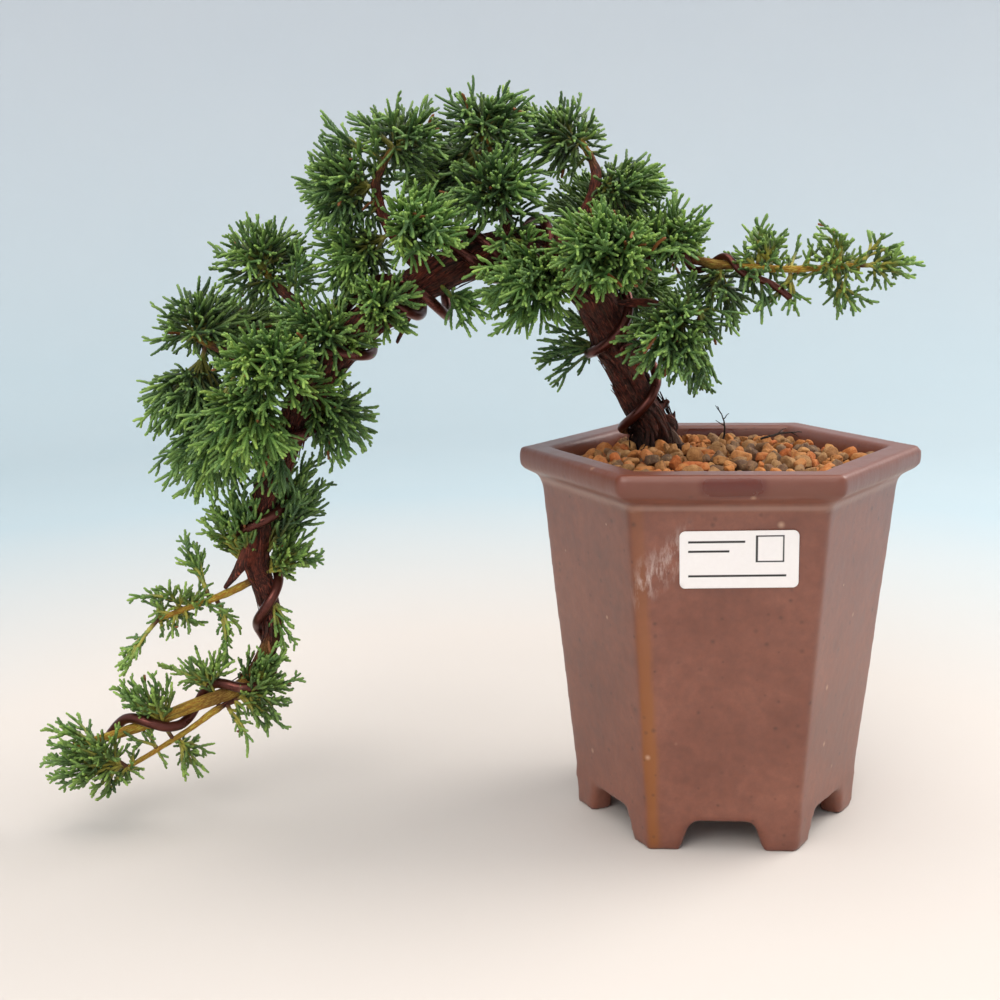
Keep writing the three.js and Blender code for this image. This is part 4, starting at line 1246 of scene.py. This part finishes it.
def side_shoots(spray, parent, style, level, normal, tone):
    """Shoots on alternate sides of a parent shoot, shorter towards its tip."""
    draw = spray.draw
    length = parent[3]
    kind = "side" if level == 1 else "fine"
    spacing, longest = style[kind + "_spacing"] * MM, style[kind] * MM
    first = style[kind + "_from"]
    place = length * first + spacing * draw.random() * 0.5
    hand = 1 if draw.random() < 0.5 else -1
    while place < length - 0.9 * MM:
        t = place / length
        start, ahead = Spray.on(parent, t)
        roll = Matrix.Rotation(style["roll"] * draw.uniform(0.7, 1.3), 3, ahead)
        normal = (roll @ normal).normalized()
        across = normal.cross(ahead).normalized() * hand
        taper = min(1.0, 0.55 + 1.6 * (t - first)) * (1.0 - 0.72 * t**1.6)
        reach = longest * taper * draw.uniform(0.7, 1.25)
        least = style["least"] * (0.55 if t > 0.8 else 1.0) if level == 1 else LEAST_FINE
        reach = max(min(reach, 0.62 * length), least * MM)
        opening = style["open"] * draw.uniform(0.8, 1.2)
        heading = ahead * math.cos(opening) + across * math.sin(opening)
        heading = (heading + normal * draw.normal(0, 0.12)).normalized()
        closed = ahead * math.cos(style["close"]) + across * math.sin(style["close"])
        bend = (closed - heading) * 0.5 + Vector((0, 0, style["lift"])) * 0.4
        dead = draw.random() < DEAD_SHARE
        youth = (0.1 + 0.9 * draw.random() ** 1.3) * (1.0 - DULL_INSIDE * (1 - t))
        cord = spray.add(
            start, heading, bend, reach, CORD * draw.uniform(0.86, 1.08),
            min(max(tone + draw.normal(0, 0.1), 0), 1), youth, 0.0, float(dead),
        )
        if level == 1 and reach > LEAST_FORKED and draw.random() < style["forked"]:
            side_shoots(spray, cord, style, 2, normal, tone)
        hand = -hand
        place += spacing * draw.uniform(0.75, 1.25)


def outer_targets(node, count, others, draw):
    """Spread-out points on the free skin of a foliage pad."""
    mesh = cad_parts[node].data
    mesh.calc_loop_triangles()
    areas = np.array([t.area for t in mesh.loop_triangles])
    chosen = draw.choice(len(areas), SKIN_PLACES, p=areas / areas.sum())
    weights = draw.dirichlet((1, 1, 1), SKIN_PLACES)
    triangles = [mesh.loop_triangles[index] for index in chosen]
    corners = np.array([[mesh.vertices[i].co for i in triangle.vertices] for triangle in triangles])
    facing = np.array([triangle.normal for triangle in triangles])
    points = np.einsum("ij,ijk->ik", weights, corners)
    probe = points + facing * 3.0 * MM
    free = np.ones(len(points), bool)
    for middle, half in others:
        free &= (((probe - middle) / half) ** 2).sum(axis=1) > 1
    free |= draw.random(len(points)) < COVERED_SHARE
    pool = points[free]
    picked = [pool[draw.integers(len(pool))]]
    gap = np.linalg.norm(pool - picked[0], axis=1)
    while len(picked) < count:
        index = int(np.argmax(gap * draw.uniform(0.8, 1.0, len(pool))))
        picked.append(pool[index])
        gap = np.minimum(gap, np.linalg.norm(pool - pool[index], axis=1))
    return picked


def grow_clump(spray, style, middle, targets, wood_finder, trim=0.0):
    """Main shoots from the nearest wood out to the targets, with their side shoots."""
    draw = spray.draw
    middle = Vector(middle)
    root = Vector(wood_finder.find(middle)[0])
    hub = root.lerp(middle, 0.55)
    twig_length = max((hub - root).length, 3 * MM)
    twig_way = (hub - root).normalized()
    no_bend = Vector((0, 0, 0))
    twig = spray.add(root, twig_way, no_bend, twig_length, 0.7 * MM, 0.5, 0.0, 1.0, 0.0)
    pad_tone = draw.uniform(0.25, 0.6) + style["fresh"]
    for target in targets:
        goal = Vector(target)
        outward = (goal - middle).normalized()
        goal += outward * (draw.uniform(-3.0, 2.4) - 2.4 * max(outward.z, 0.0) - trim) * MM
        search = goal.lerp(middle, 0.45) + Vector(draw.normal(0, 3.5 * MM, 3))
        near = Vector(wood_finder.find(search)[0])
        if (near - goal).length < 0.95 * (hub - goal).length:
            start = near
        else:
            start, _ = Spray.on(twig, draw.uniform(0.3, 1.0))
        straight = goal - start
        length = max(straight.length, 4 * MM)
        way = straight.normalized()
        drift = Vector(draw.normal(0, 0.22, 3))
        heading = (way + twig_way * 0.3 + drift).normalized()
        bend = straight / length - heading
        tone = min(max(pad_tone + draw.normal(0, 0.16), 0.0), 1.0)
        youth = draw.uniform(0.3, 1.0)
        girth = CORD * 1.05
        cord = spray.add(start, heading, bend, length, girth, tone, youth, style["woody"], 0.0)
        facing = Vector(draw.normal(size=3))
        if style is SPRAY:
            facing = Vector((draw.normal(0, 0.3), -1.0, draw.normal(0, 0.4) + 0.3))
        normal = (facing - way * facing.dot(way)).normalized()
        side_shoots(spray, cord, style, 1, normal, tone)
    return root


def grow_pad(node, index, wood_finder, ellipsoids):
    """All the cords of one pad and of the clumps that hang out of it."""
    draw = np.random.default_rng(1000 + index)
    short_name = node.removeprefix("foliage_")
    style = SPRAY if short_name.startswith(SPRAY_NODES) else TUFT
    middle, half = ellipsoids[node]
    size = float(np.prod(half)) ** (1 / 3)
    skin = sum(face.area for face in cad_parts[node].data.polygons)
    thick = THICK_GROWTH if short_name.startswith(THICK_NODES) else 1.0
    mains = max(FEWEST_SHOOTS, round(thick * skin / (style["patch"] * MM * MM)))
    others = [ellipsoids[other] for other in ellipsoids if other != node]
    targets = outer_targets(node, mains, others, draw)
    spray = Spray(draw)
    trim = TRIMMED.get(short_name, 0.0)
    root = grow_clump(spray, style, middle, targets, wood_finder, trim)
    for place, reach, count in OUTLIERS.get(short_name, []):
        clump = np.array(place) * MM
        spread = unit(draw.normal(size=(count, 3))) * np.array(reach) * MM
        grow_clump(spray, style, clump, clump + spread, wood_finder)
    return spray, np.array(root), middle, size


def map_corners(rings, sides):
    """Map corners of one tube in a unit cell: those of its quads, then of its two end fans."""
    across, along = 1 / sides, 1 / (rings - 1)
    a = np.arange(sides) * across
    u, v = np.meshgrid(a, np.arange(rings - 1) * along)
    start, end = np.zeros(sides), np.ones(sides)
    quads = [(u, v), (u + across, v), (u + across, v + along), (u, v + along)]
    first = [(a + across / 2, start - 0.05), (a + across, start), (a, start)]
    last = [(a + across / 2, end + 0.05), (a, end), (a + across, end)]
    quads, first, last = (
        np.stack([np.stack(pair, axis=-1) for pair in fan], axis=-2).reshape(-1, 2)
        for fan in (quads, first, last)
    )
    return {"quad_uv": quads, "tri_uv": np.concatenate([first, last])}


def cords_to_mesh(spray, centre, size):
    """The cords of a spray as knobbly tubes, with their painted values and their own map cells."""
    rows = np.array(spray.rows)
    cells = math.ceil(math.sqrt(len(rows)))
    rings_for = np.clip(np.ceil(rows[:, 9] / SCALE_PITCH).astype(int), 4, 60)
    rings_for = np.where(rings_for > 12, (rings_for + 3) // 4 * 4, rings_for)
    parts = {key: [] for key in ("points", "quads", "tris", "quad_uv", "tri_uv")}
    values = {key: [] for key in ("tip", "tone", "depth", "wood", "dead", "scale")}
    total = 0
    for rings in np.unique(rings_for):
        picked = np.flatnonzero(rings_for == rings)
        start, heading, bend, rest = np.split(rows[picked], [3, 6, 9], axis=1)
        length, girth, tone, youth, woody, dead = (column[:, None] for column in rest.T)
        cap = girth / length
        body = np.linspace(0, 1, rings - 1)[None] * (1 - cap * 0.9)
        t = np.concatenate([body, 1 - 0.28 * cap], axis=1)
        paths = start[:, None] + length[..., None] * (
            t[..., None] * heading[:, None] + (t**2)[..., None] * bend[:, None]
        )
        ring, side = np.arange(rings)[:, None], np.arange(CORD_SIDES)[None, :]
        knob = np.where((ring + side) % 2 == 0, 1.0, -1.0)
        wood = np.clip(woody * (1.35 - 1.9 * t), 0, 1)
        from_tip = length * (1 - t)
        taper = 1 - TIP_THINNING * np.clip(1 - from_tip / (3.0 * MM), 0, 1)
        taper[:, -1] = 0.5
        taper[:, 0] = 0.8
        skin = (girth * taper)[..., None] * (1 + KNOB * knob[None] * (1 - wood[..., None]))
        points, quads, tris = sweep(paths, skin, 0.45)
        columns = {
            "tip": np.clip(1 - from_tip / TIP_LENGTH, 0, 1) ** 1.1 * youth,
            # How far a point is from the pad's middle, which the finish turns into painted shade inside
            # the pad.
            "depth": np.clip(np.linalg.norm(paths - centre, axis=2) / size, 0, 1.5),
            "wood": wood, "tone": tone + 0 * t, "dead": dead + 0 * t,
        }
        for key, column in columns.items():
            skin_values = np.repeat(column, CORD_SIDES, axis=1)
            values[key].append(np.hstack([skin_values, column[:, :1], column[:, -1:]]).ravel())
        values["scale"].append(np.tile(capped((knob + 1) / 2, 0.5, 0.5), len(picked)))
        parts["points"].append(points)
        parts["quads"].append(quads + total)
        parts["tris"].append(tris + total)
        total += len(points)
        corner = np.stack([picked % cells, picked // cells], axis=1)[:, None]
        for key, cell in map_corners(rings, CORD_SIDES).items():
            inset = cell * [0.88, 0.78] + [0.06, 0.11]
            parts[key].append(((inset[None] + corner) / cells).reshape(-1, 2))
    merged = {key: np.concatenate(pieces) for key, pieces in parts.items()}
    values = {key: np.concatenate(pieces) for key, pieces in values.items()}
    uv = np.concatenate([merged["quad_uv"], merged["tri_uv"]])
    return merged["points"], [merged["quads"], merged["tris"]], values, uv


def make_foliage(wood_lines):
    wood = np.concatenate(wood_lines)
    finder = KDTree(len(wood))
    for index, place in enumerate(wood):
        finder.insert(place, index)
    finder.balance()
    ellipsoids = {}
    for node in FOLIAGE_NODES:
        low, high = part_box(node)
        ellipsoids[node] = (np.array((low + high) / 2), np.array((high - low) / 2))
    material = foliage_finish()
    for index, node in enumerate(FOLIAGE_NODES):
        spray, root, middle, size = grow_pad(node, index, finder, ellipsoids)
        points, faces, values, uv = cords_to_mesh(spray, (root + middle) / 2, size * 1.5)
        name = node.replace("foliage_", "juniper_spray_")
        make_piece(name, points, faces, material, [node], values, uv)


# ---------------------------------------------------------------- studio


def make_studio():
    """A round sweep of studio paper: a flat floor that curves up into the wall."""
    floor_radius, wall_radius, wall_top, sides = 0.75, 1.15, 1.9, 96
    curve = wall_radius - floor_radius
    profile = [(r, 0.0) for r in np.linspace(0.0, floor_radius, 12)[1:]]
    for share in np.linspace(0, 1, 14)[1:]:
        turn = share * math.pi / 2
        profile.append((floor_radius + curve * math.sin(turn), curve * (1 - math.cos(turn))))
    profile += [(wall_radius, z) for z in np.linspace(curve, wall_top, 8)[1:]]
    profile = np.array(profile)
    angle = 2 * np.pi * np.arange(sides) / sides
    rings = np.stack([
        profile[:, :1] * np.cos(angle), profile[:, :1] * np.sin(angle),
        np.repeat(profile[:, 1:], sides, axis=1),
    ], axis=-1).reshape(-1, 3)
    points = np.vstack([rings, [[0, 0, 0]]])
    j = np.arange(sides)
    k = (j + 1) % sides
    ring = np.arange(len(profile) - 1)[:, None] * sides
    quads = np.stack([ring + j, ring + sides + j, ring + sides + k, ring + k], -1).reshape(-1, 4)
    tris = np.stack([np.full(sides, len(points) - 1), j, k], axis=-1)
    mesh = bpy.data.meshes.new("studio_floor")
    mesh.from_pydata(points.tolist(), [], quads.tolist() + tris.tolist())
    mesh.shade_smooth()
    mesh.materials.append(studio_finish())
    floor = bpy.data.objects.new("studio_floor", mesh)
    bpy.context.scene.collection.objects.link(floor)


def add_softbox(name, place, aim, size, power, colour):
    """A lit panel of the given size that faces the aim."""
    light = bpy.data.lights.new(name, "AREA")
    light.shape = "RECTANGLE"
    light.size, light.size_y = size
    light.energy = power
    light.color = tint(colour)[:3]
    lamp = bpy.data.objects.new(name, light)
    lamp.location = place
    lamp.rotation_mode = "QUATERNION"
    lamp.rotation_quaternion = (Vector(aim) - Vector(place)).to_track_quat("-Z", "Y")
    bpy.context.scene.collection.objects.link(lamp)


def make_lights():
    middle = (0.0, 0.0, 0.1)
    add_softbox("overhead", (-0.1, -0.2, 1.6), middle, (1.9, 1.6), 17.5, "fff6f0")
    add_softbox("window", (0.98, 0.35, 0.75), middle, (0.9, 0.9), 17.0, "fff9f3")
    add_softbox("front_fill", (-0.35, -1.0, 0.7), middle, (0.8, 0.8), 9.6, "fff9f4")
    world = bpy.data.worlds.new("studio_air")
    world.use_nodes = True
    sky = world.node_tree.nodes["Background"]
    sky.inputs[0].default_value = tint("f2f2f2")
    sky.inputs[1].default_value = 0.8
    bpy.context.scene.world = world


def make_camera():
    """Eye level a little above the rim, in front and slightly to the tree's side."""
    eye = Vector((POT_AXIS.x - 31.0 * MM, POT_AXIS.y - 442.9 * MM, POT_LOW.z + 179.0 * MM))
    down, swing, tilt = math.radians(10.83), math.radians(4.275), math.radians(0.825)
    lens = bpy.data.cameras.new("studio_camera")
    lens.sensor_width = 36.0
    lens.lens = 54.9
    lens.clip_start = 0.02
    camera = bpy.data.objects.new("studio_camera", lens)
    turn = Matrix.Rotation(swing, 4, "Z") @ Matrix.Rotation(math.pi / 2 - down, 4, "X")
    camera.matrix_world = Matrix.Translation(eye) @ turn @ Matrix.Rotation(-tilt, 4, "Z")
    bpy.context.scene.collection.objects.link(camera)
    bpy.context.scene.camera = camera


# ---------------------------------------------------------------- the whole tree


def main():
    make_camera()
    make_studio()
    make_lights()
    bpy.context.scene.view_settings.view_transform = "Standard"
    make_pot()
    make_label()
    bare_wire = wire_finish("bare_aluminium", "8d8f92", "a9abad", "c4c5c6")
    for node, material in (("drainage_mesh", plastic_finish()), ("mesh_staple", bare_wire)):
        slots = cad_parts[node].data.materials
        slots.clear()
        slots.append(material)
    brown_wire = wire_finish("brown_anodised_wire", "4a251e", "693931", "9c7164")
    for node, gauge in WIRE_GAUGES.items():
        make_wire(node, brown_wire, gauge)
    bark = bark_finish()
    line, radii = centreline("trunk", 0.8 * MM, 2.0 * MM)
    line, radii, marks = resample(line, radii, 0.6 * MM)
    make_trunk(line, radii, marks, bark)
    make_peelings(line, radii, marks, bark)
    wood_lines = [line[line[:, 2] > SOIL_HIGH.z + 20 * MM]]
    wood_lines += [make_limb(node, bark, line) for node in LIMB_NODES]
    stem = line[marks < STEM_FOOT]
    foot = stem[np.argmin(np.abs(stem[:, 2] - (POT_TOP - 2 * MM)))]
    make_flap(foot, bark)
    clay = grain_finish()
    make_gravel(clay, foot, STEM_CLEARANCE)
    make_packed_soil(clay)
    dry = dead_finish()
    for name, (node, offshoots, seed) in TWIGS.items():
        branching_twig(name, node, dry, offshoots, seed)
    make_foliage(wood_lines)


main()
